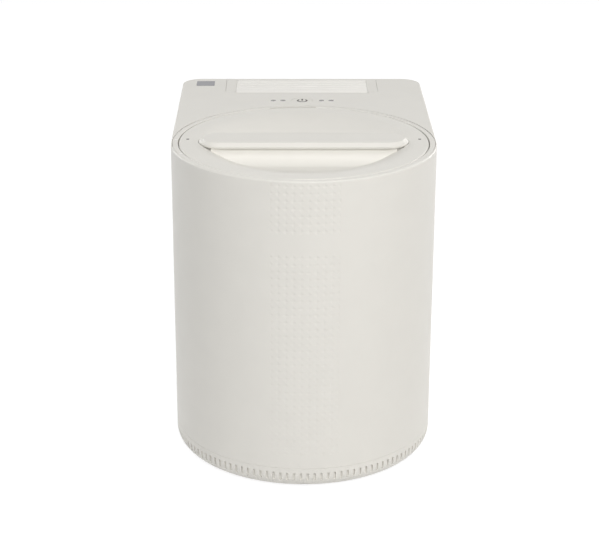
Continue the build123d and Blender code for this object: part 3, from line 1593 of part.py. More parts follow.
with BuildPart() as filter_cover:
    add(case_prism(0, deck_bottom, case_height))
    add(case_prism(shell_wall, deck_bottom, deck_under), mode=Mode.SUBTRACT)
    add(envelope, mode=Mode.INTERSECT)
    with BuildSketch(Plane.XY.offset(deck_bottom)):
        add(cover_plan.sketch)
    extrude(amount=cover_skirt_height, mode=Mode.INTERSECT)
    with BuildSketch(Plane((0, grille_mid_y, case_height))):
        Rectangle(grille_width + 2 * grille_gap, grille_depth + 2 * grille_gap)
    extrude(amount=-grille_frame_wall, mode=Mode.SUBTRACT)
    with BuildSketch(Plane((0, grille_mid_y, case_height))):
        Rectangle(grille_width - 2 * grille_seat_width, grille_depth - 2 * grille_seat_width)
    extrude(amount=-2 * shell_wall, mode=Mode.SUBTRACT)
filter_cover.part.label = "filter_cover"
export_step(filter_cover.part, "parts/filter_cover.step")

with BuildPart() as filter_grille:
    with BuildSketch(Plane((0, grille_mid_y, case_height))):
        Rectangle(grille_width, grille_depth)
        Rectangle(window_width, window_depth, mode=Mode.SUBTRACT)
    extrude(amount=-grille_frame_wall)
    first_louvre_y = grille_mid_y - louvre_pitch * (louvre_count - 1) / 2
    for louvre in range(louvre_count):
        louvre_y = first_louvre_y + louvre * louvre_pitch
        louvre_origin = (0, louvre_y, case_height - louvre_drop)
        louvre_plane = Plane(louvre_origin, x_dir=(0, 1, 0), z_dir=(1, 0, 0))
        with BuildSketch(louvre_plane):
            Rectangle(louvre_width, louvre_wall, rotation=louvre_tilt)
        extrude(amount=window_width / 2 + louvre_bite, both=True)
    with BuildSketch(Plane((0, grille_mid_y, case_height))):
        Rectangle(grille_width, grille_depth)
    extrude(amount=-2 * shell_wall, mode=Mode.INTERSECT)
filter_grille.part.label = "filter_grille"
export_step(filter_grille.part, "parts/filter_grille.step")

# Controls under the deck
switch_top = control_board_top + switch_height
button_flange_top = deck_under - rest_gap
button_flange_bottom = button_flange_top - button_flange_height
stem_bottom = switch_top + button_travel + 2 * fit_clearance

with BuildPart() as control_board:
    with BuildSketch(Plane((0, control_y, control_board_top))):
        Rectangle(control_board_length, control_board_width)
    extrude(amount=-board_thickness)
control_board.part.label = "control_board"
export_step(control_board.part, "parts/control_board.step")

with BuildPart() as button_switch:
    with BuildSketch(Plane((0, control_y, control_board_top))):
        Rectangle(switch_size, switch_size)
    extrude(amount=switch_height)
    with BuildSketch(Plane((0, control_y, switch_top))):
        Circle(switch_plunger_radius)
    extrude(amount=switch_plunger_height)
button_switch.part.label = "button_switch"
export_step(button_switch.part, "parts/button_switch.step")

with BuildPart() as power_button:
    with BuildSketch(Plane((0, control_y, button_flange_bottom))):
        Circle(button_radius + button_flange)
    extrude(amount=button_flange_height)
    with BuildSketch(Plane((0, control_y, button_flange_bottom))):
        Circle(button_radius)
    extrude(amount=case_height - button_flange_bottom)
    fillet(power_button.edges().group_by(Axis.Z)[-1], button_edge_round)
    with BuildSketch(Plane((0, control_y, stem_bottom))):
        Circle(button_stem_radius)
        Circle(button_stem_bore, mode=Mode.SUBTRACT)
    extrude(amount=button_flange_bottom - stem_bottom)
power_button.part.label = "power_button"
export_step(power_button.part, "parts/power_button.step")

with BuildPart() as indicator_lights:
    with BuildSketch(Plane.XY.offset(control_board_top)):
        with Locations(*light_places):
            Circle(light_radius)
    extrude(amount=case_height - control_board_top)
indicator_lights.part.label = "indicator_lights"
export_step(indicator_lights.part, "parts/indicator_lights.step")

# Microswitch that feels the closed lid, hung under the deck
with BuildPart() as lid_switch:
    switch_turn = math.radians(lid_switch_angle)
    switch_outward = (math.cos(switch_turn), math.sin(switch_turn), 0)
    switch_reach = ring_radius + lid_switch_gap
    switch_x = switch_reach * math.cos(switch_turn)
    switch_y = bay_y + switch_reach * math.sin(switch_turn)
    with BuildSketch(Plane((switch_x, switch_y, deck_under), x_dir=switch_outward)):
        Rectangle(lid_switch_width, lid_switch_length)
    extrude(amount=-lid_switch_height)
lid_switch.part.label = "lid_switch"
export_step(lid_switch.part, "parts/lid_switch.step")

# Power board on its posts, and the parts soldered to it
board_top = power_board_height + board_thickness
with BuildPart() as power_board:
    with BuildSketch(Plane((power_board_x, power_board_y, power_board_height))):
        RectangleRounded(power_board_length, power_board_width, board_corner)
    extrude(amount=board_thickness)
power_board.part.label = "power_board"
export_step(power_board.part, "parts/power_board.step")

with BuildPart() as board_parts:
    with BuildSketch(Plane((power_board_x - board_part_offset, power_board_y, board_top))):
        Rectangle(transformer_size, transformer_size)
    extrude(amount=transformer_height)
    with BuildSketch(Plane((power_board_x, power_board_y + capacitor_offset, board_top))):
        with GridLocations(capacitor_pitch, 1, 2, 1):
            Circle(capacitor_radius)
    extrude(amount=capacitor_height)
    sink_place = (power_board_x + board_part_offset, power_board_y + sink_wall, board_top)
    with BuildSketch(Plane(sink_place)):
        Rectangle(sink_length, sink_wall)
        with GridLocations(sink_fin_pitch, 1, sink_fin_count, 1):
            Rectangle(sink_fin_wall, sink_fin_width)
    extrude(amount=sink_height)
board_parts.part.label = "board_parts"
export_step(board_parts.part, "parts/board_parts.step")

# Power inlet, snapped into the rear shell
with BuildPart() as power_inlet:
    inlet_face = Plane((inlet_x, back_y, inlet_z), x_dir=(-1, 0, 0), z_dir=(0, 1, 0))
    with BuildSketch(inlet_face):
        RectangleRounded(inlet_flange_width, inlet_flange_height, inlet_corner)
    extrude(amount=-inlet_flange_wall)
    with BuildSketch(inlet_face):
        Rectangle(inlet_body_width, inlet_body_height)
    extrude(amount=-inlet_body_depth)
    with BuildSketch(inlet_face):
        Rectangle(inlet_socket_width, inlet_socket_height)
    extrude(amount=-inlet_socket_depth, mode=Mode.SUBTRACT)
    with BuildSketch(inlet_face.offset(-inlet_socket_depth)):
        with Locations((-pin_spacing, -pin_stagger), (pin_spacing, -pin_stagger), (0, pin_stagger)):
            Rectangle(pin_width, pin_height)
    extrude(amount=pin_length)
power_inlet.part.label = "power_inlet"
export_step(power_inlet.part, "parts/power_inlet.step")

# Cables: the ribbon between the two boards, and the motor's leads
with BuildPart() as control_ribbon:
    with BuildSketch(Plane((cable_x, cable_y, board_top + connector_height))):
        Rectangle(cable_width, cable_wall)
    control_board_under = control_board_top - board_thickness
    extrude(amount=control_board_under - connector_height - board_top - connector_height)
control_ribbon.part.label = "control_ribbon"
export_step(control_ribbon.part, "parts/control_ribbon.step")

with BuildPart() as ribbon_connectors:
    with BuildSketch(Plane((cable_x, cable_y, board_top))):
        Rectangle(connector_length, connector_width)
    extrude(amount=connector_height)
    with BuildSketch(Plane((cable_x, cable_y, control_board_under))):
        Rectangle(connector_length, connector_width)
    extrude(amount=-connector_height)
ribbon_connectors.part.label = "ribbon_connectors"
export_step(ribbon_connectors.part, "parts/ribbon_connectors.step")

lead_height = motor_bottom + motor_height / 2
lead_end_y = power_board_y - power_board_width / 2 + board_post_inset
with BuildPart() as motor_leads:
    for lead in (-1, 1):
        lead_x = power_board_x + board_part_offset + lead * lead_spacing / 2
        lead_near_x = abs(lead_x) - lead_radius
        lead_start_y = motor_y + math.sqrt(motor_radius**2 - lead_near_x**2)
        with BuildLine() as lead_path:
            FilletPolyline(
                (lead_x, lead_start_y, lead_height),
                (lead_x, lead_end_y, lead_height),
                (lead_x, lead_end_y, board_top),
                radius=lead_bend,
            )
        with BuildSketch(Plane((lead_x, lead_start_y, lead_height), z_dir=(0, 1, 0))):
            Circle(lead_radius)
        sweep(path=lead_path.line)
motor_leads.part.label = "motor_leads"
export_step(motor_leads.part, "parts/motor_leads.step")
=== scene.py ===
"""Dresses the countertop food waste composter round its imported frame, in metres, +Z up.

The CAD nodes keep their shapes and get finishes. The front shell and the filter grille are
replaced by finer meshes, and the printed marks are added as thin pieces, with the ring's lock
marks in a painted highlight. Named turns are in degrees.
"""

import json
import math

import bmesh
import bpy
from mathutils import Matrix, Vector


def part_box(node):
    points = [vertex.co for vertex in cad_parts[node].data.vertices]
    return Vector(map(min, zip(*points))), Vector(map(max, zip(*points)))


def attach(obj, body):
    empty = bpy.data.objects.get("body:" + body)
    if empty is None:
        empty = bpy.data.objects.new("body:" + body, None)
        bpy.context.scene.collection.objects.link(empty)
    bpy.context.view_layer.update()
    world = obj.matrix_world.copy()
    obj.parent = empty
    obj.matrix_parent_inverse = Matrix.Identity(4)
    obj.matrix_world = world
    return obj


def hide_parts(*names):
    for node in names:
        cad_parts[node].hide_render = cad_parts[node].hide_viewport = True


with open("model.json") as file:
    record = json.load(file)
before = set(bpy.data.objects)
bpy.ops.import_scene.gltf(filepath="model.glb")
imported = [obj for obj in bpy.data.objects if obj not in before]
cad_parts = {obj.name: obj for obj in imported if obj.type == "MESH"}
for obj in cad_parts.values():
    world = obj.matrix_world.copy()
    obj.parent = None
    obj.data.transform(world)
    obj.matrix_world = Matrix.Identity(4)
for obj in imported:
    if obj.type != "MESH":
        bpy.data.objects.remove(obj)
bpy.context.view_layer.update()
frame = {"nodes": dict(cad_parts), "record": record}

MM = 0.001


# ---- Places read from the frame ---------------------------------------------------------

shell_low, shell_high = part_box("front_shell")
ring_low, ring_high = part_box("rim_ring")
grille_low, grille_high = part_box("filter_grille")
button_low, button_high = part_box("power_button")

half_width = shell_high.x
case_foot = shell_low.z
case_top = shell_high.z
seam_y = shell_high.y
ring_radius = ring_high.x
ring_top = ring_high.z
bay_y = (ring_low.y + ring_high.y) / 2


# ---- Objects and meshes -----------------------------------------------------------------

# Corners that agree to a tenth of a micrometre are one corner.
corners_per_metre = 1e7


def add_object(name, data):
    """A new object for some data, linked into the scene."""
    added = bpy.data.objects.new(name, data)
    bpy.context.scene.collection.objects.link(added)
    return added


class Mould:
    """Collects faces by their corner places, sharing corners that meet."""

    def __init__(self):
        self.places = []
        self.index = {}
        self.faces = []

    def corner(self, place):
        """The number of the corner at a place."""
        key = tuple(round(value * corners_per_metre) for value in place)
        if key not in self.index:
            self.index[key] = len(self.places)
            self.places.append(place)
        return self.index[key]

    def face(self, *places):
        """Adds a face, unless its corners meet so that nothing of it is left."""
        corners = []
        for place in places:
            corner = self.corner(place)
            if corner not in corners:
                corners.append(corner)
        if len(corners) > 2:
            self.faces.append(corners)

    def piece(self, name, sharp_degrees):
        """The finished object, facing outward and smooth except at sharp edges and triangles."""
        form = bmesh.new()
        corners = [form.verts.new(place) for place in self.places]
        for face in self.faces:
            form.faces.new([corners[i] for i in face])
        bmesh.ops.recalc_face_normals(form, faces=form.faces)
        for face in form.faces:
            face.smooth = True
        for edge in form.edges:
            bend = edge.calc_face_angle(0)
            beside_triangle = any(len(face.verts) == 3 for face in edge.link_faces)
            edge.smooth = bend < math.radians(sharp_degrees) and not beside_triangle
        mesh = bpy.data.meshes.new(name)
        form.to_mesh(mesh)
        form.free()
        return add_object(name, mesh)


def add_tube(mould, centre, outer, inner, low, high, steps=24):
    """Adds an upright tube to a mould."""
    def at(radius, step, height):
        turn = 2 * math.pi * step / steps
        return (centre[0] + radius * math.cos(turn), centre[1] + radius * math.sin(turn), height)

    for step in range(steps):
        for radius in (outer, inner):
            mould.face(at(radius, step, low), at(radius, step + 1, low),
                       at(radius, step + 1, high), at(radius, step, high))
        for height in (low, high):
            mould.face(at(outer, step, height), at(outer, step + 1, height),
                       at(inner, step + 1, height), at(inner, step, height))


def add_block(mould, low, high):
    """Adds a closed block between two corners to a mould."""
    (x0, y0, z0), (x1, y1, z1) = low, high
    for z in (z0, z1):
        mould.face((x0, y0, z), (x1, y0, z), (x1, y1, z), (x0, y1, z))
    for y in (y0, y1):
        mould.face((x0, y, z0), (x1, y, z0), (x1, y, z1), (x0, y, z1))
    for x in (x0, x1):
        mould.face((x, y0, z0), (x, y1, z0), (x, y1, z1), (x, y0, z1))


# ---- Finishes ---------------------------------------------------------------------------

drift_detail = 3
drift_stops = (0.3, 0.7)
grain_detail = 4
bump_strength = 0.5
roughness_swing = 0.06
least_roughness = 0.02


def srgb(red, green, blue):
    """A linear colour from 8 bit display values."""
    def linear(value):
        value /= 255
        return value / 12.92 if value <= 0.04045 else ((value + 0.055) / 1.055) ** 2.4

    return (linear(red), linear(green), linear(blue))


def make_finish(name, colour, roughness, mottle=0.02, mottle_size=25, grain_size=0.8,
                grain_depth=0.01, metal=0.0, coat=0.0, stretch=(1, 1, 1)):
    """A material whose colour drifts, whose surface is grained and whose roughness varies.

    The colour is in 8 bit display values. The sizes and the depth are in millimetres.
    """
    material = bpy.data.materials.new(name)
    material.use_nodes = True
    nodes = material.node_tree.nodes
    links = material.node_tree.links
    shader = nodes["Principled BSDF"]
    shader.inputs["Metallic"].default_value = metal
    shader.inputs["Coat Weight"].default_value = coat

    place = nodes.new("ShaderNodeTexCoord")
    scaled = nodes.new("ShaderNodeMapping")
    scaled.inputs["Scale"].default_value = stretch
    links.new(place.outputs["Object"], scaled.inputs["Vector"])

    def noise(size, detail):
        made = nodes.new("ShaderNodeTexNoise")
        made.inputs["Scale"].default_value = 1 / (size * MM)
        made.inputs["Detail"].default_value = detail
        links.new(scaled.outputs["Vector"], made.inputs["Vector"])
        return made.outputs["Fac"]

    drift = nodes.new("ShaderNodeValToRGB")
    shares = (1 - mottle, 1 + mottle)
    for stop, position, share in zip(drift.color_ramp.elements, drift_stops, shares):
        stop.position = position
        stop.color = [min(1, value * share) for value in srgb(*colour)] + [1]
    links.new(noise(mottle_size, drift_detail), drift.inputs["Fac"])
    links.new(drift.outputs["Color"], shader.inputs["Base Color"])

    grain = noise(grain_size, grain_detail)
    bump = nodes.new("ShaderNodeBump")
    bump.inputs["Strength"].default_value = bump_strength
    bump.inputs["Distance"].default_value = grain_depth * MM
    links.new(grain, bump.inputs["Height"])
    links.new(bump.outputs["Normal"], shader.inputs["Normal"])
    shine = nodes.new("ShaderNodeMapRange")
    shine.inputs["To Min"].default_value = max(least_roughness, roughness - roughness_swing)
    shine.inputs["To Max"].default_value = min(1, roughness + roughness_swing)
    links.new(grain, shine.inputs["Value"])
    links.new(shine.outputs["Result"], shader.inputs["Roughness"])
    return material


shell_white = (226, 224, 218)
finish_values = {
    "shell_plastic": dict(colour=shell_white, roughness=0.5, mottle=0.008),
    "lid_plastic": dict(colour=shell_white, roughness=0.5, mottle=0.008),
    "grille_plastic": dict(colour=(243, 241, 236), roughness=0.5, mottle=0.008),
    "inner_plastic": dict(colour=(58, 58, 61), roughness=0.5, mottle=0.06, grain_size=0.5,
                          grain_depth=0.03),
    "liner_plastic": dict(colour=(120, 121, 123), roughness=0.45, mottle=0.04),
    "filter_plastic": dict(colour=(232, 232, 230), roughness=0.45, mottle=0.02),
    "carbon": dict(colour=(34, 34, 36), roughness=0.8, mottle=0.5, mottle_size=2.5,
                   grain_size=1.5, grain_depth=0.8),
    "foot_rubber": dict(colour=(42, 42, 43), roughness=0.75, mottle=0.08, grain_depth=0.04),
    "gasket_rubber": dict(colour=(150, 152, 153), roughness=0.6, mottle=0.03, grain_depth=0.02),
    "screw_steel": dict(colour=(190, 191, 194), roughness=0.35, mottle=0.08, mottle_size=1.5,
                        grain_size=0.3, metal=1.0),
    "shaft_steel": dict(colour=(196, 197, 200), roughness=0.28, mottle=0.06, grain_size=0.6,
                        metal=1.0, stretch=(1, 1, 14)),
    "gear_steel": dict(colour=(150, 150, 154), roughness=0.4, mottle=0.1, mottle_size=6,
                       grain_size=0.4, metal=1.0),
    "motor_can": dict(colour=(178, 179, 183), roughness=0.33, mottle=0.07, grain_size=0.7,
                      metal=1.0, stretch=(1, 1, 0.1)),
    "agitator_metal": dict(colour=(172, 173, 176), roughness=0.5, mottle=0.08, mottle_size=5,
                           grain_size=0.5, grain_depth=0.06, metal=1.0),
    "bucket_metal": dict(colour=(78, 79, 82), roughness=0.42, mottle=0.1, mottle_size=4,
                         grain_size=0.35, grain_depth=0.03, coat=0.15),
    "well_metal": dict(colour=(196, 198, 201), roughness=0.35, mottle=0.05, grain_size=0.6,
                       metal=1.0, stretch=(0.15, 0.15, 3)),
    "bush_bronze": dict(colour=(186, 145, 88), roughness=0.45, mottle=0.12, mottle_size=1.2,
                        grain_size=0.25, metal=1.0),
    "jacket_felt": dict(colour=(226, 223, 214), roughness=0.95, mottle=0.1, mottle_size=3,
                        grain_size=0.9, grain_depth=0.5),
    "board_green": dict(colour=(34, 94, 62), roughness=0.35, mottle=0.25, mottle_size=3,
                        grain_size=2.5, grain_depth=0.03, coat=0.4),
    "board_part": dict(colour=(52, 53, 56), roughness=0.45, mottle=0.25, mottle_size=12),
    "light_lens": dict(colour=(62, 60, 58), roughness=0.22, mottle=0.1, mottle_size=1.5,
                       coat=0.5),
    "badge": dict(colour=(104, 104, 110), roughness=0.3, mottle=0.06, mottle_size=3, coat=0.3),
    "cable": dict(colour=(140, 141, 145), roughness=0.55, mottle=0.1, mottle_size=2),
    "print_ink": dict(colour=(78, 74, 70), roughness=0.6, mottle=0.1, mottle_size=1.5),
    # Near white for the ring's raised lock marks: a painted highlight on them, not ink.
    "lock_mark_painted_highlight": dict(colour=(250, 250, 248), roughness=0.6, mottle=0.02, mottle_size=1.5),
}
finishes = {name: make_finish(name, **values) for name, values in finish_values.items()}

slot_of = {entry["node"]: entry["material_slot"] for entry in frame["record"]["subparts"]}
for node_name, node in frame["nodes"].items():
    node.data.materials.clear()
    node.data.materials.append(finishes[slot_of[node_name]])


# ---- Camera, light and floor ------------------------------------------------------------

camera_place = (-0.0223, bay_y - 1.756, 0.8628)
camera_yaw = 0.61
camera_pitch = 21.17
camera_roll = 0.18
sensor_width = 36
lens_length = 103.97

lamp_aim = (0, 0, 0.2)
lamps = (
    # name, place, size, power, tint
    ("key", (0.3, -2.2, 2.5), 2.0, 77, (1, 0.99, 0.98)),
    ("right", (2.6, -0.9, 0.7), 1.4, 12, (1, 0.98, 0.95)),
    ("left", (-2.6, -0.9, 0.7), 1.4, 7, (0.96, 0.98, 1)),
    ("top", (0, 0.3, 3.0), 2.0, 12, (1, 1, 1)),
    ("back_right", (2.3, 2.2, 0.8), 1.4, 34, (1, 1, 1)),
    ("back_left", (-2.3, 2.2, 0.8), 1.4, 34, (1, 1, 1)),
)
world_light = 0.08
backdrop_light = 1
floor_reach = 2.2
floor_grey = 0.88
floor_shade_grey = 0.25
floor_glow = 0.88


def make_camera():
    """The camera, turned by its yaw, pitch and roll."""
    yaw, pitch, roll = map(math.radians, (camera_yaw, camera_pitch, camera_roll))
    forward = Vector((math.sin(yaw) * math.cos(pitch), math.cos(yaw) * math.cos(pitch),
                      -math.sin(pitch)))
    sideways = Vector((math.cos(yaw), -math.sin(yaw), 0))
    upright = sideways.cross(forward)
    right = sideways * math.cos(roll) + upright * math.sin(roll)
    up = upright * math.cos(roll) - sideways * math.sin(roll)
    camera_data = bpy.data.cameras.new("camera")
    camera_data.sensor_fit = "HORIZONTAL"
    camera_data.sensor_width = sensor_width
    camera_data.lens = lens_length
    camera = add_object("camera", camera_data)
    turn = Matrix((right, up, -forward)).transposed().to_4x4()
    camera.matrix_world = Matrix.Translation(camera_place) @ turn
    bpy.context.scene.camera = camera


def make_lamps():
    """Square soft boxes round the object, all facing it."""
    for name, place, size, power, tint in lamps:
        lamp_data = bpy.data.lights.new(name, "AREA")
        lamp_data.shape = "SQUARE"
        lamp_data.size = size
        lamp_data.energy = power
        lamp_data.color = tint
        lamp = add_object(name, lamp_data)
        facing = Vector(lamp_aim) - Vector(place)
        lamp.location = place
        lamp.rotation_euler = facing.to_track_quat("-Z", "Y").to_euler()


def pick_by_ray(tree, lit, seen, output_kind):
    """Ends a tree in the seen shader for camera, glossy and transmission rays, else the lit one."""
    rays = tree.nodes.new("ShaderNodeLightPath").outputs
    factor = rays["Is Camera Ray"]
    for ray in ("Is Glossy Ray", "Is Transmission Ray"):
        either = tree.nodes.new("ShaderNodeMath")
        either.operation = "MAXIMUM"
        tree.links.new(factor, either.inputs[0])
        tree.links.new(rays[ray], either.inputs[1])
        factor = either.outputs["Value"]
    pick = tree.nodes.new("ShaderNodeMixShader")
    tree.links.new(factor, pick.inputs["Fac"])
    tree.links.new(lit, pick.inputs[1])
    tree.links.new(seen, pick.inputs[2])
    output = tree.nodes.new(output_kind)
    tree.links.new(pick.outputs["Shader"], output.inputs["Surface"])


def make_world():
    """Even white light all round, and a white backdrop behind it."""
    world = bpy.data.worlds.new("studio")
    bpy.context.scene.world = world
    world.use_nodes = True
    tree = world.node_tree
    tree.nodes.clear()

    def white(strength):
        light = tree.nodes.new("ShaderNodeBackground")
        light.inputs["Color"].default_value = (1, 1, 1, 1)
        light.inputs["Strength"].default_value = strength
        return light.outputs["Background"]

    pick_by_ray(tree, white(world_light), white(backdrop_light), "ShaderNodeOutputWorld")


def make_floor():
    """A white floor that keeps a soft shadow of the object."""
    mesh = bpy.data.meshes.new("floor")
    signs = ((-1, -1), (1, -1), (1, 1), (-1, 1))
    corners = [(x * floor_reach, y * floor_reach, 0) for x, y in signs]
    mesh.from_pydata(corners, [], [range(len(corners))])
    floor = add_object("floor", mesh)
    material = bpy.data.materials.new("floor_white")
    material.use_nodes = True
    tree = material.node_tree
    tree.nodes.clear()

    def matt(grey):
        surface = tree.nodes.new("ShaderNodeBsdfDiffuse")
        surface.inputs["Color"].default_value = (grey, grey, grey, 1)
        return surface.outputs["BSDF"]

    glow = tree.nodes.new("ShaderNodeEmission")
    glow.inputs["Strength"].default_value = floor_glow
    bright = tree.nodes.new("ShaderNodeAddShader")
    tree.links.new(matt(floor_shade_grey), bright.inputs[0])
    tree.links.new(glow.outputs["Emission"], bright.inputs[1])
    pick_by_ray(tree, matt(floor_grey), bright.outputs["Shader"], "ShaderNodeOutputMaterial")
    floor.data.materials.append(material)


bpy.context.scene.view_settings.view_transform = "Standard"
make_camera()
make_world()
make_floor()
make_lamps()


# ---- Front shell with its band of sunk diamonds -----------------------------------------

wall = 2.6 * MM
edge_round = 1.8 * MM
edge_turns = (35, 55, 73.9)
seat_gap = 0.3 * MM
seat_depth = 5 * MM
foot_break = 0.3 * MM
foot_break_height = 0.35 * MM
arc_steps = 60
run_steps = 4
shell_sharp_degrees = 12

cell = 7.85 * MM
half_cell = cell / 2
cells_each_side = 4
diamond = 3.4 * MM
row_groups = (
    # number of rows, and the topmost one's height and the pitch in millimetres
    (7, 334.7, 7.83),
    (29, 259.8, 7.79),
)
least_gap = 0.001 * MM
height_digits = 7
# A diamond's depth in millimetres at one height, and how much deeper it is higher by a rise.
low_pit_depth = 0.22
added_pit_depth = 0.2
low_pit_height = 0.04
added_pit_rise = 0.3

ledge_low = 318.5 * MM
ledge_top = 321.5 * MM
ledge_width = 5 * MM
ledge_bite = 0.3 * MM
ledge_steps = 90
post_inset = 8 * MM
post_radius = 5.3 * MM
post_hole = 1.6 * MM
post_height = 20 * MM
post_turns = (-150, -90, -30)

seat_radius = ring_radius + seat_gap
arc_half = half_width * math.pi / 2
run_half = arc_half + seam_y - bay_y
band_half = (cells_each_side + 0.5) * cell
rows = sorted((top * MM - row * pitch * MM, pitch * MM)
              for count, top, pitch in row_groups for row in range(count))


def snapped(height):
    """A height rounded, so that lines meant to meet do."""
    return round(height, height_digits)


foot_lines = [snapped(case_foot), snapped(case_foot + foot_break_height)]


def wall_point(along, inset, height):
    """A place on the shell by its way along the outline, its depth and its height."""
    if abs(along) <= arc_half:
        turn = along / half_width
        radius = half_width - inset
        return (radius * math.sin(turn), bay_y - radius * math.cos(turn), height)
    return (math.copysign(half_width - inset, along), bay_y + abs(along) - arc_half, height)


def edge_inset(height):
    """How far the rounded top edge draws the wall in at a height."""
    rise = max(0, height - (case_top - edge_round))
    return edge_round - math.sqrt(max(0, edge_round ** 2 - rise ** 2))


def edge_height(inset):
    """The height of the rounded top edge at a depth from the wall."""
    if inset >= edge_round:
        return case_top
    return case_top - edge_round + math.sqrt(edge_round ** 2 - (edge_round - inset) ** 2)


def seat_inset(along):
    """The depth of the rim ring's seat from the wall."""
    beyond = max(0, abs(along) - arc_half)
    return half_width - math.sqrt(seat_radius ** 2 - beyond ** 2)


def outer_point(along, height, sink=0):
    """A place on the shell's outer face, or sunk into it. The foot's edge is broken inward."""
    break_in = foot_break if height < foot_lines[1] else 0
    return wall_point(along, edge_inset(height) + sink + break_in, height)


def diamond_depth(height):
    """The depth of the diamonds at a height. They are shallowest near the floor."""
    return (low_pit_depth + added_pit_depth * (height - low_pit_height) / added_pit_rise) * MM


def add_strip(mould, columns, heights):
    """Adds plain outer wall between columns and heights."""
    for left, right in zip(columns, columns[1:]):
        for below, above in zip(heights, heights[1:]):
            mould.face(outer_point(left, below), outer_point(right, below),
                       outer_point(right, above), outer_point(left, above))


def add_pit(mould, rim, along, height):
    """Adds the slopes from a rim down to the deepest point of a sunk diamond."""
    deepest = outer_point(along, height, diamond_depth(height))
    for first, second in zip(rim, rim[1:] + rim[:1]):
        mould.face(first, second, deepest)


def add_cell(mould, left, bottom, middle, top):
    """Adds one cell of the band with its whole diamond."""
    centre = left + half_cell
    right = left + cell
    tip_low = outer_point(centre, middle - diamond)
    tip_high = outer_point(centre, middle + diamond)
    tip_left = outer_point(centre - diamond, middle)
    tip_right = outer_point(centre + diamond, middle)
    mould.face(outer_point(left, bottom), outer_point(centre, bottom),
               tip_low, tip_left, outer_point(left, middle))
    mould.face(outer_point(centre, bottom), outer_point(right, bottom),
               outer_point(right, middle), tip_right, tip_low)
    mould.face(outer_point(right, middle), outer_point(right, top),
               outer_point(centre, top), tip_high, tip_right)
    mould.face(outer_point(centre, top), outer_point(left, top),
               outer_point(left, middle), tip_left, tip_high)
    add_pit(mould, (tip_low, tip_right, tip_high, tip_left), centre, middle)


def add_half_cell(mould, sign, bottom, middle, top):
    """Adds the half cell that ends a row on one side, with its half of a diamond."""
    near = sign * cells_each_side * cell
    far = sign * band_half
    tip = outer_point(sign * (band_half - diamond), middle)
    tip_low = outer_point(far, middle - diamond)
    tip_high = outer_point(far, middle + diamond)
    mould.face(outer_point(near, bottom), outer_point(far, bottom),
               tip_low, tip, outer_point(near, middle))
    mould.face(outer_point(near, middle), tip, tip_high,
               outer_point(far, top), outer_point(near, top))
    add_pit(mould, (tip_high, tip, tip_low, outer_point(far, middle)), far, middle)


def add_band(mould, columns):
    """Adds the band of diamonds, with plain wall at its foot and between its groups of rows."""
    reached = foot_lines[-1]
    for middle, pitch in rows:
        bottom = snapped(middle - pitch / 2)
        top = snapped(middle + pitch / 2)
        if bottom - reached > least_gap:
            add_strip(mould, columns, [reached, bottom])
        for step in range(-cells_each_side, cells_each_side):
            add_cell(mould, step * cell, bottom, middle, top)
        for sign in (-1, 1):
            add_half_cell(mould, sign, bottom, middle, top)
        reached = top
    add_strip(mould, columns, foot_lines)


def inner_section(along, band_top):
    """The section from the band's top over the rounded edge and down the inside to the foot."""
    seat = seat_inset(along)
    edge_end = min(seat, edge_round)
    under = case_top - (seat_depth if seat <= wall else wall)
    section = [outer_point(along, band_top)]
    for turn in map(math.radians, edge_turns):
        depth = edge_round * (1 - math.cos(turn))
        section.append(wall_point(along, depth, edge_height(depth)))
    for depth, height in ((edge_end, edge_height(edge_end)), (seat, edge_height(seat)),
                          (seat, under), (wall, under), (wall, case_foot)):
        section.append(wall_point(along, depth, height))
    section.append(outer_point(along, case_foot))
    return section


def add_ledge(mould):
    """Adds the ledge inside the top, let into the wall behind it."""
    near = wall - ledge_bite
    far = wall + ledge_width
    for step in range(ledge_steps):
        first = -arc_half + 2 * arc_half * step / ledge_steps
        second = -arc_half + 2 * arc_half * (step + 1) / ledge_steps
        for depth in (far, near):
            mould.face(wall_point(first, depth, ledge_low), wall_point(second, depth, ledge_low),
                       wall_point(second, depth, ledge_top), wall_point(first, depth, ledge_top))
        for height in (ledge_low, ledge_top):
            mould.face(wall_point(first, near, height), wall_point(second, near, height),
                       wall_point(second, far, height), wall_point(first, far, height))
    for along in (-arc_half, arc_half):
        mould.face(wall_point(along, near, ledge_low), wall_point(along, far, ledge_low),
                   wall_point(along, far, ledge_top), wall_point(along, near, ledge_top))


def make_front_shell():
    """The front shell as one closed wall, with a grid of sunk diamonds up its front."""
    lines = set(foot_lines)
    for middle, pitch in rows:
        for offset in (-pitch / 2, -diamond, 0, diamond, pitch / 2):
            lines.add(snapped(middle + offset))
    lines = sorted(lines)

    side = [band_half + (arc_half - band_half) * step / arc_steps for step in range(arc_steps + 1)]
    side += [arc_half + (run_half - arc_half) * step / run_steps
             for step in range(1, run_steps + 1)]
    other_side = [-along for along in side]
    half_cells = 2 * cells_each_side + 1
    band = [half_cell * step for step in range(-half_cells, half_cells + 1)]

    mould = Mould()
    add_strip(mould, side, lines)
    add_strip(mould, other_side, lines)
    add_band(mould, band)

    columns = sorted(set(other_side + band + side))
    sections = [inner_section(along, lines[-1]) for along in columns]
    for first, second in zip(sections, sections[1:]):
        for step in range(len(first) - 1):
            mould.face(first[step], second[step], second[step + 1], first[step + 1])
    for i in (0, -1):
        outside = [outer_point(columns[i], height) for height in lines]
        mould.face(*outside, *sections[i][1:-1])

    add_ledge(mould)
    post_reach = half_width - post_inset
    for turn in map(math.radians, post_turns):
        centre = (post_reach * math.cos(turn), bay_y + post_reach * math.sin(turn))
        add_tube(mould, centre, post_radius, post_hole, case_foot, case_foot + post_height)
    return mould.piece("front_shell_wall", shell_sharp_degrees)


front_wall = make_front_shell()
front_wall.data.materials.append(finishes["shell_plastic"])
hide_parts("front_shell")
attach(front_wall, "housing")


# ---- Filter grille with fine slats ------------------------------------------------------

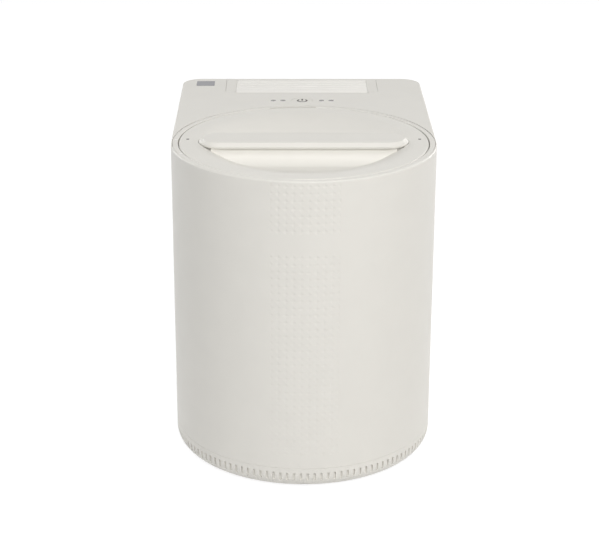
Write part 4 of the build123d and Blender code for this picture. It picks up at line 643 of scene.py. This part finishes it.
slat_pitch = 10.2 * MM
slat_slit = 0.8 * MM
slat_thickness = 1.4 * MM
slat_softening = 0.5 * MM
slat_shoulder = slat_softening * 0.3
least_slat = 2 * MM
corner_radius = 4 * MM
corner_steps = 6
rib_places = (-60, -20, 20, 60)
rib_half_width = 1 * MM
rib_end_inset = 2 * MM
rib_low_drop = 3 * MM
rib_top_drop = 1.2 * MM
grille_sharp_degrees = 35


def add_slat(mould, front, back, round_front):
    """Adds one slat as a closed bar with softened top edges and, where asked, round corners."""
    def outline(inset, height):
        x = grille_high.x - inset
        y = front + inset
        right = []
        if round_front:
            radius = corner_radius - inset
            for step in range(corner_steps + 1):
                turn = math.pi * (1.5 + step / (2 * corner_steps))
                right.append((x - radius + radius * math.cos(turn),
                              y + radius + radius * math.sin(turn), height))
        else:
            right.append((x, y, height))
        right.append((x, back - inset, height))
        return right + [(-px, py, pz) for px, py, pz in reversed(right)]

    top = grille_high.z
    outlines = [outline(0, top - slat_thickness), outline(0, top - slat_softening),
                outline(slat_shoulder, top - slat_shoulder), outline(slat_softening, top)]
    for lower, upper in zip(outlines, outlines[1:]):
        for step in range(len(lower)):
            after = (step + 1) % len(lower)
            mould.face(lower[step], lower[after], upper[after], upper[step])
    mould.face(*outlines[0])
    mould.face(*outlines[-1])


def make_grille():
    """Slats across the whole grille, on ribs that join them from below."""
    mould = Mould()
    back = grille_high.y
    while back > grille_low.y:
        front = back - slat_pitch + slat_slit
        if front - grille_low.y < least_slat:
            front = grille_low.y
        add_slat(mould, front, back, front == grille_low.y)
        back = front - slat_slit
    for x in rib_places:
        add_block(mould, (x * MM - rib_half_width, grille_low.y + rib_end_inset,
                          grille_high.z - rib_low_drop),
                  (x * MM + rib_half_width, grille_high.y - rib_end_inset,
                   grille_high.z - rib_top_drop))
    return mould.piece("grille_slats", grille_sharp_degrees)


grille = make_grille()
grille.data.materials.append(finishes["grille_plastic"])
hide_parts("filter_grille")
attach(grille, "cover")


# ---- Printed marks, and lock marks in painted highlight ---------------------------------

mark_rise = 0.06 * MM
mark_sink = 0.1 * MM
mark_sharp_degrees = 40

symbol_radius = 5.2 * MM
symbol_width = 2.0 * MM
symbol_drop = 0.6 * MM
symbol_start = 128
symbol_sweep = 284
symbol_steps = 24
symbol_bar_below = 0.5 * MM
symbol_bar_above = 6.6 * MM

lid_mark_x = 122.6 * MM
lid_mark_back = 6.1 * MM
lid_mark_half_length = 1.4 * MM
lid_mark_width = 3.2 * MM

ring_mark_turns = (178, 200)
ring_mark_radii = (133.6 * MM, 136.6 * MM)
ring_mark_width = 1.6 * MM


def add_stroke(mould, points, width, surface):
    """Adds a line of colour along level points, as a thin closed ribbon just over a surface. It is
    print, but on the ring's lock marks a painted highlight.
    """
    low = surface - mark_sink
    high = surface + mark_rise
    left = []
    right = []
    for i, point in enumerate(points):
        before = Vector(points[max(0, i - 1)])
        after = Vector(points[min(len(points) - 1, i + 1)])
        along = (after - before).normalized()
        across = Vector((-along.y, along.x)) * width / 2
        left.append(Vector(point) + across)
        right.append(Vector(point) - across)
    for i in range(len(points) - 1):
        for height in (low, high):
            mould.face((*left[i], height), (*left[i + 1], height),
                       (*right[i + 1], height), (*right[i], height))
        for edge in (left, right):
            mould.face((*edge[i], low), (*edge[i + 1], low),
                       (*edge[i + 1], high), (*edge[i], high))
    for i in (0, -1):
        mould.face((*left[i], low), (*right[i], low), (*right[i], high), (*left[i], high))


def make_power_symbol():
    """A broken ring with a bar, on the button."""
    mould = Mould()
    centre = (button_low + button_high) / 2
    arc = []
    for step in range(symbol_steps + 1):
        turn = math.radians(symbol_start + step * symbol_sweep / symbol_steps)
        arc.append((centre.x + symbol_radius * math.cos(turn),
                    centre.y - symbol_drop + symbol_radius * math.sin(turn)))
    bar = [(centre.x, centre.y - symbol_bar_below), (centre.x, centre.y + symbol_bar_above)]
    for points in (arc, bar):
        add_stroke(mould, points, symbol_width, button_high.z)
    return mould.piece("power_symbol", mark_sharp_degrees)


def make_lid_marks():
    """Two dark marks at the ends of the lid's middle line."""
    mould = Mould()
    y = bay_y + lid_mark_back
    for x in (-lid_mark_x, lid_mark_x):
        ends = [(x - lid_mark_half_length, y), (x + lid_mark_half_length, y)]
        add_stroke(mould, ends, lid_mark_width, ring_top)
    return mould.piece("lid_marks", mark_sharp_degrees)


def make_ring_marks():
    """Two lock marks on the rim ring, one for each position of the lid. They are raised marks, and
    their pale colour is a painted highlight.
    """
    mould = Mould()
    for turn in map(math.radians, ring_mark_turns):
        ends = [(radius * math.cos(turn), bay_y + radius * math.sin(turn))
                for radius in ring_mark_radii]
        add_stroke(mould, ends, ring_mark_width, ring_top)
    return mould.piece("ring_marks", mark_sharp_degrees)


# The ring's lock marks are real raised marks; their near-white finish is a painted highlight.
for piece, ink, body, slot in (
    (make_power_symbol(), "print_ink", "button", "shell_plastic"),
    (make_lid_marks(), "print_ink", "lid", "lid_plastic"),
    (make_ring_marks(), "lock_mark_painted_highlight", "housing", "shell_plastic"),
):
    piece.data.materials.append(finishes[ink])
    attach(piece, body)
